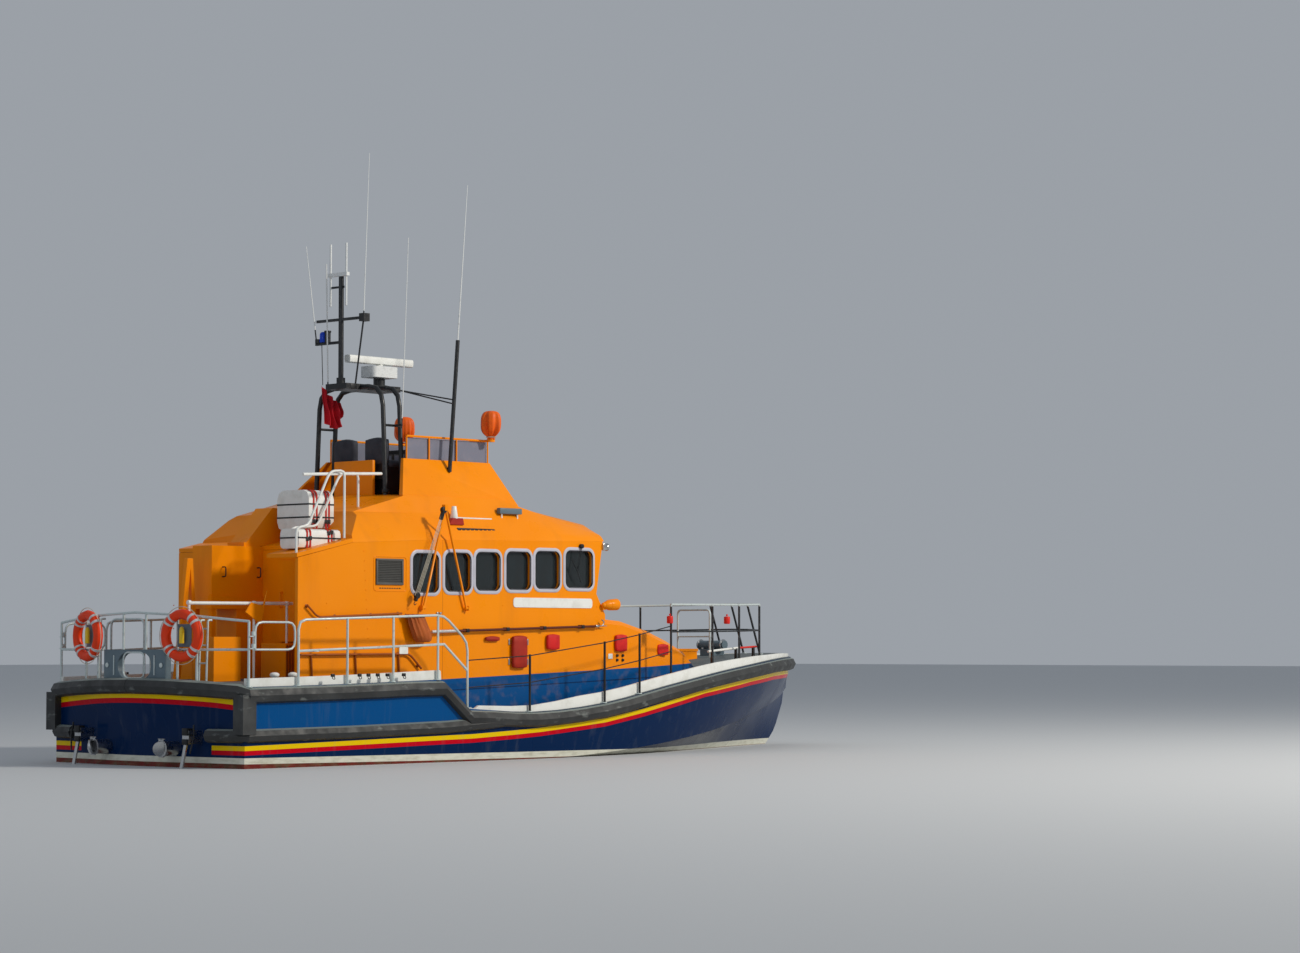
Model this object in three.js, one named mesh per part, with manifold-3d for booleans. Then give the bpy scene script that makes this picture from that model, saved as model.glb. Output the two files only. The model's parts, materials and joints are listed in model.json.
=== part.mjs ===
// Rescue lifeboat, about 14.6 m over its fenders, afloat.
// Millimetres. X runs forward to the bow, Y to port, Z up. The origin is on the centreline,
// at the waterline, amidships.
import * as THREE from "three";
import { mergeVertices } from "three/addons/utils/BufferGeometryUtils.js";
import Module from "manifold-3d";

const wasm = await Module();
wasm.setup();

// Driving dimensions
const GAP = 0.3; // between pieces that touch
const RUNNING_GAP = 0.5; // between a hinge's knuckle and its lug
const TRANSOM_X = -7000;
const TRANSOM_BULGE = 330; // how far the middle of the transom stands aft of its corners
const DECK_CAMBER = 70;
const WALL = 60; // deckhouse wall and roof thickness
const HOUSE_HALF = 1700; // deckhouse half width
const HOUSE_AFT = -5700; // aft edge of the deckhouse side walls
const BULKHEAD_X = -5060; // aft bulkhead, in the alcove under the low roof
const ROOF_AFT = -4650; // aft end of the high wheelhouse roof
const RAIL_RADIUS = 19;
const WIRE_RADIUS = 9;
const BRIDGE_HALF = 860; // flying bridge coaming half width
const GANTRY_TOP = 5600;
const SHAFT_Y = 1000; // shaft, propeller and rudder offset from the centreline

// Finishes: colour, roughness, metalness
const finish = (color, roughness, metalness = 0) =>
  new THREE.MeshStandardMaterial({ color, roughness, metalness });
const NAVY = finish(0x16264d, 0.3);
const ORANGE = finish(0xf28a05, 0.4);
const FENDER_GREY = finish(0x3c3e3f, 0.7);
const WHITE = finish(0xe6e4da, 0.4);
const RAIL_GREY = finish(0xb9c6c6, 0.35, 0.4);
const BLACK = finish(0x17181a, 0.5);
const GLASS = finish(0x1b2226, 0.05);
const SCREEN = finish(0x9fa3ad, 0.1);
const BUOY_ORANGE = finish(0xee4a12, 0.6);
const BRONZE = finish(0x9a7a3e, 0.35, 0.8);
const STEEL = finish(0x8d9396, 0.3, 0.9);
const PANEL_GREY = finish(0x66757e, 0.5);
const RED = finish(0xb8162a, 0.8);
const CANVAS = finish(0xd45a10, 0.8);

// Solids from three.js geometry
function solid(geometry) {
  const bare = geometry.clone();
  bare.deleteAttribute("normal");
  bare.deleteAttribute("uv");
  const merged = mergeVertices(bare, 1e-3);
  return new wasm.Manifold(
    new wasm.Mesh({
      numProp: 3,
      vertProperties: new Float32Array(merged.attributes.position.array),
      triVerts: new Uint32Array(merged.index.array),
    }),
  );
}

const join = (...solids) => solids.flat().reduce((all, next) => all.add(next));
const mirrorY = (body) => body.mirror([0, 1, 0]);

// A box between two corners
function box([x0, x1], [y0, y1], [z0, z1]) {
  const shape = new THREE.BoxGeometry(x1 - x0, y1 - y0, z1 - z0);
  return solid(shape.translate((x0 + x1) / 2, (y0 + y1) / 2, (z0 + z1) / 2));
}

// A closed body through rings of points, each ring the same length, its ends capped.
// The cap is a fan round the ring's middle.
function loft(rings) {
  const count = rings[0].length;
  const points = rings.flat().map((p) => [p.x, p.y, p.z]);
  const faces = [];
  for (let r = 0; r + 1 < rings.length; r++)
    for (let i = 0; i < count; i++) {
      const a = r * count + i;
      const b = r * count + ((i + 1) % count);
      faces.push([a, b, b + count], [a, b + count, a + count]);
    }
  const middle = (ring) =>
    ring.reduce((sum, p) => sum.add(p), new THREE.Vector3()).divideScalar(count);
  const last = (rings.length - 1) * count;
  const start = points.push(middle(rings[0]).toArray()) - 1;
  const end = points.push(middle(rings.at(-1)).toArray()) - 1;
  for (let i = 0; i < count; i++) {
    const j = (i + 1) % count;
    faces.push([start, j, i], [end, last + i, last + j]);
  }
  const geometry = new THREE.BufferGeometry();
  geometry.setAttribute("position", new THREE.Float32BufferAttribute(points.flat(), 3));
  geometry.setIndex(faces.flat());
  const body = solid(geometry);
  return body.volume() < 0 ? solid(flipped(geometry)) : body;
}

function flipped(geometry) {
  const index = Array.from(geometry.index.array);
  for (let i = 0; i < index.length; i += 3)
    [index[i + 1], index[i + 2]] = [index[i + 2], index[i + 1]];
  return geometry.clone().setIndex(index);
}

const vec = (p) => new THREE.Vector3(...p);

// A round tube through a list of points, mitred where it bends. A closed one is a hoop.
function tube(list, radius, sides = 8, tipRadius = radius) {
  const points = list.map(vec);
  const rings = [];
  let side = new THREE.Vector3();
  points.forEach((point, i) => {
    const before = i > 0 ? point.clone().sub(points[i - 1]).normalize() : null;
    const after =
      i + 1 < points.length ? points[i + 1].clone().sub(point).normalize() : null;
    const along = new THREE.Vector3();
    if (before) along.add(before);
    if (after) along.add(after);
    along.normalize();
    if (i === 0) {
      const helper = Math.abs(along.z) < 0.9 ? new THREE.Vector3(0, 0, 1) : new THREE.Vector3(1, 0, 0);
      side.crossVectors(along, helper).normalize();
    } else {
      side.sub(along.clone().multiplyScalar(side.dot(along))).normalize();
    }
    const up = new THREE.Vector3().crossVectors(along, side);
    const bend = before && after ? before.clone().sub(after) : null;
    const stretch = bend && bend.length() > 1e-6 ? 1 / Math.max(0.5, along.dot(after)) : 1;
    const outward = bend && bend.length() > 1e-6 ? bend.normalize() : null;
    const size = radius + ((tipRadius - radius) * i) / (points.length - 1);
    const ring = [];
    for (let k = 0; k < sides; k++) {
      const angle = ((k + 0.5) / sides) * 2 * Math.PI;
      const spoke = side
        .clone()
        .multiplyScalar(Math.cos(angle) * size)
        .addScaledVector(up, Math.sin(angle) * size);
      if (outward) spoke.addScaledVector(outward, spoke.dot(outward) * (stretch - 1));
      ring.push(point.clone().add(spoke));
    }
    rings.push(ring);
  });
  return loft(rings);
}

// A list of points with each inner corner rounded by two or more points on an arc
function rounded(list, radius, steps = 3) {
  const points = list.map(vec);
  const out = [points[0]];
  for (let i = 1; i + 1 < points.length; i++) {
    const back = points[i - 1].clone().sub(points[i]);
    const ahead = points[i + 1].clone().sub(points[i]);
    const reach = Math.min(radius, back.length() / 2.2, ahead.length() / 2.2);
    const from = points[i].clone().addScaledVector(back.normalize(), reach);
    const to = points[i].clone().addScaledVector(ahead.normalize(), reach);
    const arc = new THREE.QuadraticBezierCurve3(from, points[i], to);
    out.push(...arc.getPoints(steps));
  }
  out.push(points.at(-1));
  return out.map((p) => p.toArray());
}

// A prism: an outline drawn on one plane, extruded along the third axis between two values.
// "y" takes [x, z] points, "z" takes [x, y] points, "x" takes [y, z] points.
const PRISM_PLANES = {
  x: (u, v, w) => new THREE.Vector3(w, u, v),
  y: (u, v, w) => new THREE.Vector3(u, w, v),
  z: (u, v, w) => new THREE.Vector3(u, v, w),
};
function prism(axis, outline, [from, to]) {
  const shape = new THREE.Shape(outline.map(([u, v]) => new THREE.Vector2(u, v)));
  const geometry = new THREE.ExtrudeGeometry(shape, { depth: to - from, bevelEnabled: false });
  const position = geometry.attributes.position;
  for (let i = 0; i < position.count; i++) {
    const p = PRISM_PLANES[axis](position.getX(i), position.getY(i), position.getZ(i) + from);
    position.setXYZ(i, p.x, p.y, p.z);
  }
  geometry.deleteAttribute("normal");
  geometry.deleteAttribute("uv");
  const merged = mergeVertices(geometry, 1e-3);
  const body = solid(merged);
  return body.volume() < 0 ? solid(flipped(merged)) : body;
}

// A rectangle with rounded corners, as an outline
function roundedRectangle([u0, u1], [v0, v1], radius, steps = 3) {
  const corners = [
    [u1 - radius, v1 - radius, 0],
    [u0 + radius, v1 - radius, 1],
    [u0 + radius, v0 + radius, 2],
    [u1 - radius, v0 + radius, 3],
  ];
  return corners.flatMap(([u, v, quarter]) =>
    Array.from({ length: steps + 1 }, (_, i) => {
      const angle = ((quarter + i / steps) * Math.PI) / 2;
      return [u + radius * Math.cos(angle), v + radius * Math.sin(angle)];
    }),
  );
}

// A cylinder between two points
function rod(from, to, radius, sides = 12, tipRadius = radius) {
  return tube([from, to], radius, sides, tipRadius);
}

// Straight-line interpolation in a table of [x, value] rows
function along(rows, x) {
  if (x <= rows[0][0]) return rows[0][1];
  for (let i = 0; i + 1 < rows.length; i++) {
    const [x0, v0] = rows[i];
    const [x1, v1] = rows[i + 1];
    if (x <= x1) return v0 + ((v1 - v0) * (x - x0)) / (x1 - x0);
  }
  return rows.at(-1)[1];
}

const root = new THREE.Group();
function addPiece(name, body, material) {
  const { vertProperties, triVerts, numProp } = body.getMesh();
  const geometry = new THREE.BufferGeometry();
  const positions = new Float32Array((vertProperties.length / numProp) * 3);
  for (let i = 0; i < positions.length / 3; i++)
    positions.set(vertProperties.subarray(i * numProp, i * numProp + 3), i * 3);
  geometry.setAttribute("position", new THREE.BufferAttribute(positions, 3));
  geometry.setIndex(new THREE.BufferAttribute(triVerts, 1));
  geometry.computeVertexNormals();
  const mesh = new THREE.Mesh(geometry, material);
  mesh.name = name;
  root.add(mesh);
  return body;
}

// A starboard piece and its port twin
function addPair(name, starboard, material) {
  addPiece(name + "_starboard", starboard, material);
  addPiece(name + "_port", mirrorY(starboard), material);
}

// Hull: columns x, half beam at deck, deck edge height, half beam at chine, chine height, keel depth
const MAIN_STATIONS = [
  [TRANSOM_X, 2110, 1120, 2040, -90, -700],
  [-5200, 2210, 1150, 2110, -80, -760],
  [-3400, 2275, 1200, 2155, -62, -825],
  [-2870, 2295, 770, 2165, -55, -845],
  [-1500, 2330, 705, 2160, -30, -890],
  [0, 2330, 815, 2110, 30, -920],
  [1500, 2270, 1060, 1960, 130, -930],
  [3000, 2070, 1270, 1640, 270, -900],
  [4300, 1740, 1400, 1210, 420, -780],
  [5500, 1240, 1480, 720, 590, -520],
  [6300, 790, 1500, 380, 730, -200],
  [6800, 400, 1500, 150, 850, 220],
  [7040, 110, 1495, 40, 950, 700],
];
// The deck edge drops by a straight slope between these two stations
const SLOPE_TOP = -3400;
const SLOPE_FOOT = -2870;
const EASED_STEPS = 3;
const STATIONS = eased(MAIN_STATIONS, EASED_STEPS);

// Adds rows between the rows of a table, on smooth curves through all its columns
function eased(rows, steps) {
  const slope = (i, column) => {
    const before = rows[rows[i][0] === SLOPE_FOOT ? i : Math.max(i - 1, 0)];
    const after = rows[rows[i][0] === SLOPE_TOP ? i : Math.min(i + 1, rows.length - 1)];
    return (after[column] - before[column]) / (after[0] - before[0]);
  };
  return rows.flatMap((row, i) => {
    const next = rows[i + 1];
    if (!next || row[0] === SLOPE_TOP) return [row];
    const span = next[0] - row[0];
    return Array.from({ length: steps }, (_, k) => {
      const t = k / steps;
      return row.map((value, column) => {
        if (column === 0) return value + span * t;
        const start = value * (2 * t ** 3 - 3 * t ** 2 + 1);
        const leaving = slope(i, column) * span * (t ** 3 - 2 * t ** 2 + t);
        const end = next[column] * (3 * t ** 2 - 2 * t ** 3);
        const arriving = slope(i + 1, column) * span * (t ** 3 - t ** 2);
        return start + leaving + end + arriving;
      });
    });
  });
}
const DECK_HALF = STATIONS.map(([x, half]) => [x, half]);
const DECK_EDGE = STATIONS.map(([x, , edge]) => [x, edge]);
const deckHalf = (x) => along(DECK_HALF, x);
const deckEdge = (x) => along(DECK_EDGE, x);
const ACROSS = [-1, -0.66, -0.33, 0, 0.33, 0.66, 1];
const CHINE_FLAT = 45;

function hullRing([x, half, edge, chineHalf, chine, keel]) {
  const bulge = (y) => (x === TRANSOM_X ? TRANSOM_BULGE * (1 - (y / half) ** 2) : 0);
  const at = (y, z) => new THREE.Vector3(x - bulge(y), y, z);
  const bottom = ACROSS.map((f) => at(f * chineHalf, keel + (chine - keel) * Math.abs(f)));
  const middle = (side) => at(side * (chineHalf * 0.35 + half * 0.65 + 15), (chine + edge) * 0.5);
  const lip = (side) => at(side * (chineHalf + CHINE_FLAT), chine + 12);
  const top = ACROSS.map((f) => at(-f * half, edge + DECK_CAMBER * (1 - f * f)));
  return [...bottom, lip(1), middle(1), ...top, middle(-1), lip(-1)];
}

// Keels: the centre keel and a bilge keel ahead of each propeller
const KEEL_FOOT = -1300;
const keelPlate = prism(
  "y",
  [
    [-5000, -600],
    [-4700, KEEL_FOOT],
    [600, KEEL_FOOT],
    [2300, -850],
    [2300, -600],
  ],
  [-80, 80],
);
const bilgeKeel = prism(
  "y",
  [
    [-5250, -300],
    [-5150, -1180],
    [-4900, -1230],
    [-3300, -1150],
    [-1900, -300],
  ],
  [-SHAFT_Y - 330, -SHAFT_Y - 270],
);
// Rudder positions, and the bearing boss that each rudder's stock turns in
const RUDDER_X = -6640;
const BOSS_FOOT = -480;
const rudderBoss = rod([RUDDER_X, -SHAFT_Y, -300], [RUDDER_X, -SHAFT_Y, BOSS_FOOT], 55, 12);
const hull = join(
  loft(STATIONS.map(hullRing)),
  keelPlate,
  bilgeKeel,
  mirrorY(bilgeKeel),
  rudderBoss,
  mirrorY(rudderBoss),
);
addPiece("hull", hull, NAVY);

// Cuts a piece back to clear the hull by the touching gap, in the direction given
const clearOfHull = (body, [dx, dy, dz]) =>
  body.subtract(hull.translate([dx * GAP, dy * GAP, dz * GAP]));
const seatOnDeck = (body) => clearOfHull(body, [0, 0, 1]);

// Fenders: a D section rubber along the deck edge, a lower one aft, and an upright at the corner
const FENDER_HIGH = 225;
const FENDER_DEEP = 110;
const FENDER_BURIED = 30;
const FENDER_SECTION = [
  [-FENDER_BURIED, -0.5],
  [0, -0.5],
  [0.62, -0.38],
  [1, 0],
  [0.62, 0.38],
  [0, 0.5],
  [-FENDER_BURIED, 0.5],
];
const sideY = (x, z) => {
  const edge = deckEdge(x);
  const chineHalf = along(STATIONS.map((s) => [s[0], s[3]]), x);
  const chine = along(STATIONS.map((s) => [s[0], s[4]]), x);
  const middleZ = (chine + edge) / 2;
  const middleHalf = chineHalf * 0.35 + deckHalf(x) * 0.65 + 15;
  if (z >= middleZ) {
    const t = (z - middleZ) / (edge - middleZ);
    return middleHalf + (deckHalf(x) - middleHalf) * Math.min(t, 1);
  }
  const t = (z - chine) / (middleZ - chine);
  return chineHalf + CHINE_FLAT + (middleHalf - chineHalf - CHINE_FLAT) * Math.max(t, 0);
};

// Rings of a fender: path rows are [point on the hull, outward direction in plan]
function fender(path, high = FENDER_HIGH, deep = FENDER_DEEP) {
  const rings = path.map(([x, y, z, nx, ny]) =>
    FENDER_SECTION.map(([out, up]) => {
      const reach = out < 0 ? out : out * deep;
      return new THREE.Vector3(x + nx * reach, y + ny * reach, z + up * high);
    }),
  );
  return loft(rings);
}

const transomX = (y) => TRANSOM_X - TRANSOM_BULGE * (1 - (y / deckHalf(TRANSOM_X)) ** 2);
const DECK_FENDER_DROP = 115; // its middle below the deck edge
const SLOPE_FENDER_DROP = 128; // the same where the deck edge slopes
const BOW_X = MAIN_STATIONS.at(-1)[0];
const onSlope = (x) => x >= SLOPE_TOP - 10 && x <= SLOPE_FOOT + 10;
// Columns: x, middle height; y is the hull side there
const UPPER_RUN = [-6960, ...STATIONS.map(([x]) => x).slice(1, -1), BOW_X - 30].map((x) => [
  x,
  deckEdge(x) - (onSlope(x) ? SLOPE_FENDER_DROP : DECK_FENDER_DROP),
]);
const LOWER_RUN = [
  [-6960, 450],
  [-5200, 470],
  [-3300, 510],
  [-2450, 560],
  [-1900, 610],
];
const outwardAt = (x) => {
  const slope = (deckHalf(x + 60) - deckHalf(x - 60)) / 120;
  const length = Math.hypot(slope, 1);
  return [-slope / length, -1 / length];
};
const sideRun = (rows) =>
  rows.map(([x, z]) => {
    const [nx, ny] = x < -6500 ? [-0.35, -0.94] : outwardAt(x);
    return [x, -sideY(x, z), z, nx, ny];
  });
const transomRun = (ys, height) =>
  ys.map((y) => [transomX(y), y, height(y), -1, y === ys.at(-1) ? -0.5 : 0]);
const STERN_FENDER_DROP = 70; // the same at the transom's corners
const STERN_FENDER_CROWN = 80; // how much higher it is on the centreline
const UPPER_STERN = (y) =>
  deckEdge(TRANSOM_X) - STERN_FENDER_DROP + STERN_FENDER_CROWN * (1 - (y / deckHalf(TRANSOM_X)) ** 2);
const bowHeight = deckEdge(BOW_X) - DECK_FENDER_DROP;
const bowRun = [
  [BOW_X, -95, bowHeight, 0.75, -0.66],
  [BOW_X, -4, bowHeight, 1, 0],
];
const fenderStarboard = join(
  fender([
    ...transomRun([-4, -700, -1400, -2010], UPPER_STERN),
    ...sideRun(UPPER_RUN),
    ...bowRun,
  ]),
  fender([...transomRun([-1500, -2010], () => 450), ...sideRun(LOWER_RUN)], 190, 85),
  box([-7120, -6880], [-2190, -1980], [470, 1020]),
);
const hullCut = (body, side) =>
  [
    [0, side, 0],
    [-1, 0, 0],
    [1, 0, 0],
  ].reduce((left, way) => clearOfHull(left, way), body);
addPiece("fender_starboard", hullCut(fenderStarboard, -1), FENDER_GREY);
addPiece("fender_port", hullCut(mirrorY(fenderStarboard), 1), FENDER_GREY);

// Toe rails: a white plank standing on the deck edge, from the stern quarter to the bow
// Columns: x, height above the deck edge
const TOE_HEIGHTS = [
  [TRANSOM_X, 120],
  [-5000, 130],
  [-3380, 140],
  [-3370, 12],
  [-2700, 12],
  [-2620, 60],
  [-1500, 100],
  [-500, 170],
  [2700, 165],
  [4300, 120],
  [5100, 90],
  [6500, 60],
];
const TOE_THICK = 42;
const TOE_INSET = 60;
const toeRing = (x) => {
  const [nx, ny] = outwardAt(x);
  const y = -deckHalf(x) + TOE_INSET;
  const foot = deckEdge(x) - 60;
  const high = deckEdge(x) + along(TOE_HEIGHTS, x);
  return [
    [0, foot],
    [TOE_THICK, foot],
    [TOE_THICK, high],
    [0, high],
  ].map(([inward, z]) => new THREE.Vector3(x - nx * inward, y - ny * inward, z));
};
const TOE_STEPS = [-3380, -3370, -2700, -2620]; // where its height changes
const TOE_STATIONS = [
  -6955,
  ...[...STATIONS.map(([x]) => x), ...TOE_STEPS].filter((x) => x > -6900 && x < 6650),
  6680,
].sort((a, b) => a - b);
const toeRail = loft(TOE_STATIONS.map(toeRing));
addPiece("toe_rail_starboard", seatOnDeck(toeRail), WHITE);
addPiece("toe_rail_port", seatOnDeck(mirrorY(toeRail)), WHITE);

// Deckhouse: side walls, raked front and recessed aft bulkhead, open below the roofs
const EAVES = [
  [-5800, 2925],
  [ROOF_AFT, 3180],
  [-3000, 3260],
  [600, 3320],
  [1200, 3330],
];
const FRONT_HALF = 950; // half width of the front's middle facet
// Columns: height, x where a side ends, x of the front's middle facet
const HOUSE_LEVELS = [
  [500, 690, 930],
  [2180, 690, 930],
  [2500, 490, 730],
  [3420, 650, 890],
];
const housePlan = (inset, [z, sideX, frontX]) => {
  const half = HOUSE_HALF - inset;
  const aft = HOUSE_AFT - (inset ? 200 : 0);
  const side = sideX - inset * 0.85;
  const front = frontX - inset;
  const facet = FRONT_HALF - inset * 0.2;
  return [
    [aft, half],
    [side, half],
    [front, facet],
    [front, -facet],
    [side, -half],
    [aft, -half],
  ].map(([x, y]) => new THREE.Vector3(x, y, z));
};
const houseShell = (inset, low) =>
  loft(HOUSE_LEVELS.map(([z, s, f], i) => housePlan(inset, [i ? z : low, s, f])));
const aboveEaves = prism(
  "y",
  [[-6200, 2830], ...EAVES.slice(1), [1400, 3335], [1400, 5000], [-6200, 5000]],
  [-2500, 2500],
);
const aftBulkhead = box([BULKHEAD_X, BULKHEAD_X + WALL], [-HOUSE_HALF + 20, HOUSE_HALF - 20], [500, 3400]);

// Side windows: five alike and a bigger one forward. Columns: from x, to x, sill, head
const WINDOW_SILL_AFT = 2470;
const WINDOW_HIGH = 590;
const WINDOW_RISE = 0.034; // the row of windows rises forward
const SIDE_WINDOWS = [
  [-3470, -2930],
  [-2810, -2260],
  [-2170, -1640],
  [-1520, -980],
  [-890, -340],
  [-220, 400],
];
const windowSill = (x) => WINDOW_SILL_AFT + (x - SIDE_WINDOWS[0][0]) * WINDOW_RISE;
const sideOpenings = SIDE_WINDOWS.map(([from, to]) =>
  prism(
    "y",
    roundedRectangle([from, to], [windowSill(from), windowSill(from) + WINDOW_HIGH], 110),
    [-2000, 2000],
  ),
);
// Front windows. Columns: from y, to y
const FRONT_WINDOWS = [
  [-860, -320],
  [-270, 270],
  [320, 860],
];
const frontOpenings = FRONT_WINDOWS.map(([from, to]) =>
  prism("x", roundedRectangle([from, to], [2620, 3150], 90), [400, 1500]),
);
const DOOR_Y = [-1230, -650];
const DOOR_Z = [1780, 2905];
const doorOpening = box([-5200, -4900], DOOR_Y, DOOR_Z);
const DERRICK_PIVOT = [-1748, 2250]; // y, z of the derrick's hinge line
const DERRICK_FEET = [-3280, -2400];
const DERRICK_EYE = 22; // half length of the eye at each foot
const LUG_THICK = 22.5;
const lugRange = (x, side) => {
  const near = x + side * (DERRICK_EYE + RUNNING_GAP);
  return [near, near + side * LUG_THICK].sort((a, b) => a - b);
};
const derrickLugs = DERRICK_FEET.map((x, i) =>
  box(lugRange(x, i ? 1 : -1), [-1775, -HOUSE_HALF + 20], [2215, 2285]),
);
const DOOR_HINGE = [BULKHEAD_X - 28, -1290]; // x, y of the aft door's hinge line
const KNUCKLES = [1900, 2760];
const KNUCKLE_HIGH = 90;
const doorButts = KNUCKLES.map((z) =>
  join(
    rod([...DOOR_HINGE, z + KNUCKLE_HIGH + RUNNING_GAP], [...DOOR_HINGE, z + KNUCKLE_HIGH + 46], 14, 10),
    box(
      [DOOR_HINGE[0], BULKHEAD_X + 10],
      [-1302, -1278],
      [z + KNUCKLE_HIGH + RUNNING_GAP, z + KNUCKLE_HIGH + 46],
    ),
  ),
);
// Aft of the bulkhead only the starboard wall stands, and the low roof covers only its side
const ALCOVE_INNER = -1050;
const openPort = box([-6200, BULKHEAD_X], [ALCOVE_INNER, 2000], [400, 3500]);
const deckhouse = seatOnDeck(
  join(houseShell(0, 500).subtract(houseShell(WALL, 400)), aftBulkhead, derrickLugs, doorButts)
    .subtract(aboveEaves)
    .subtract(join(sideOpenings))
    .subtract(join(frontOpenings))
    .subtract(doorOpening)
    .subtract(openPort),
);
addPiece("deckhouse", deckhouse, ORANGE);

// Wheelhouse roof. Columns: x, eave, chamfer, seam and edge heights
const ROOF_STATIONS = [
  [ROOF_AFT, 3180, 3290, 3590, 3650],
  [-3200, 3250, 3360, 3660, 3930],
  [-1300, 3285, 3400, 3690, 3930],
  [-500, 3300, 3415, 3650, 3760],
  [620, 3320, 3420, 3520, 3590],
];
// Section columns: how far in from the house side, and which height of the row it takes
const ROOF_SECTION = [
  [0, 1],
  [60, 2],
  [280, 3],
  [410, 4],
];
const ROOF_CROWN = 40;
const ROOF_RAKE = [0, 30, 330, 370]; // how far forward the aft face leans at each section point
const roofRing = (row, inset) => {
  const [x] = row;
  const aftmost = x === ROOF_AFT;
  const side = ROOF_SECTION.map(([inward, column], i) => [
    x + (aftmost ? ROOF_RAKE[i] + inset : 0),
    HOUSE_HALF - inset - inward,
    row[column] - (i ? inset * 0.8 : 0),
  ]);
  const crown = [x + (aftmost ? ROOF_RAKE[3] + inset : 0), 0, row[4] + ROOF_CROWN - inset];
  return mirroredRing([...side, crown]);
};
// A ring from one side's points, the last of them on the centreline
function mirroredRing(side) {
  const other = side.slice(0, -1).reverse().map(([x, y, z]) => [x, -y, z]);
  return [...side, ...other].map(vec);
}
const BROW = [
  [660, 0, 3325],
  [660, 60, 3400],
  [860, 740, 3440],
  [885, 950, 3450],
];
const browRing = (inset) =>
  mirroredRing([
    ...BROW.map(([x, inward, z], i) => [
      x - inset * 0.5,
      HOUSE_HALF - inset - inward,
      z - (i ? inset * 0.6 : 0),
    ]),
    [890 - inset, 0, 3465 - inset],
  ]);
const roofBody = (inset) =>
  loft([...ROOF_STATIONS.map((row) => roofRing(row, inset)), browRing(inset)]);
const belowEaves = prism(
  "y",
  [[-6200, 2830], ...EAVES.slice(1), [1400, 3335], [1400, 2000], [-6200, 2000]],
  [-2500, 2500],
).translate([0, 0, GAP]);
const roofCavity = roofBody(WALL).translate([0, 0, -1]);
const roof = roofBody(0).translate([0, 0, GAP + 1]).subtract(roofCavity).subtract(belowEaves);
addPiece("wheelhouse_roof", roof, ORANGE);

// Low roof over the alcove and the aft end of the deckhouse
const CASING_HALF = 215;
const LOW_ROOF = [
  [HOUSE_AFT - 20, 2945],
  [ROOF_AFT - GAP, 3182],
];
const lowRoof = prism(
  "y",
  [...LOW_ROOF, [LOW_ROOF[1][0], LOW_ROOF[1][1] + WALL], [LOW_ROOF[0][0], LOW_ROOF[0][1] + WALL]],
  [-HOUSE_HALF, HOUSE_HALF],
)
  .subtract(openPort)
  .subtract(aboveEaves.subtract(aboveEaves.translate([0, 0, GAP])));
addPiece("alcove_roof", lowRoof, ORANGE);
// Everything under the tops of the two roofs, to seat a piece on them
const underLowRoof = prism(
  "y",
  [
    [LOW_ROOF[0][0] - 200, LOW_ROOF[0][1] + WALL + GAP - 44],
    [LOW_ROOF[0][0] - 200, 2000],
    [LOW_ROOF[1][0], 2000],
    [LOW_ROOF[1][0], LOW_ROOF[1][1] + WALL + GAP],
    [LOW_ROOF[0][0], LOW_ROOF[0][1] + WALL + GAP],
  ],
  [-2000, 2000],
);
const underRoof = join(
  roofBody(0).translate([0, 0, 2 * GAP + 1]),
  roofBody(0).translate([-GAP, 0, GAP + 1]),
);
const onRoofs = (body) => largest(body.subtract(underLowRoof).subtract(underRoof));
// The biggest of the bodies that a cut leaves
function largest(body) {
  return body.decompose().sort((a, b) => b.volume() - a.volume())[0];
}

// Coachroof ahead of the wheelhouse. Columns: x, half width, edge height, middle height
const COACHROOF_STATIONS = [
  [560, 1698, 2120, 2200],
  [1100, 1690, 2080, 2160],
  [1800, 1620, 1930, 2020],
  [2400, 1500, 1770, 1860],
  [3000, 1340, 1590, 1680],
  [3350, 1200, 1420, 1500],
];
const COACHROOF_SOFTENING = 70; // chamfer between its side and top
const coachroof = loft(
  COACHROOF_STATIONS.map(([x, half, edge, middle]) =>
    mirroredRing([
      [x, half, 500],
      [x, half, edge - COACHROOF_SOFTENING],
      [x, half - COACHROOF_SOFTENING, edge],
      [x, half * 0.5, middle - 20],
      [x, 0, middle],
    ]),
  ),
);
const houseOutline = houseShell(0, 400).translate([GAP, 0, 0]);
addPiece("coachroof", seatOnDeck(coachroof.subtract(houseOutline)), ORANGE);

// Window glass: one pane behind each row of windows
const sidePane = prism(
  "y",
  [
    [-3540, 2430],
    [425, 2565],
    [425, 3225],
    [-3540, 3095],
  ],
  [-HOUSE_HALF + WALL + GAP, -HOUSE_HALF + WALL + 8],
);
addPair("side_glass", sidePane, GLASS);
const frontInner = (z) => 730 - WALL + (z - 2500) * 0.174; // inner face of the raked front
const frontPane = prism(
  "y",
  [
    [frontInner(2580) - 1, 2580],
    [frontInner(3190) - 1, 3190],
    [frontInner(3190) - 9, 3190],
    [frontInner(2580) - 9, 2580],
  ],
  [-890, 890],
);
addPiece("front_glass", frontPane, GLASS);

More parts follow.
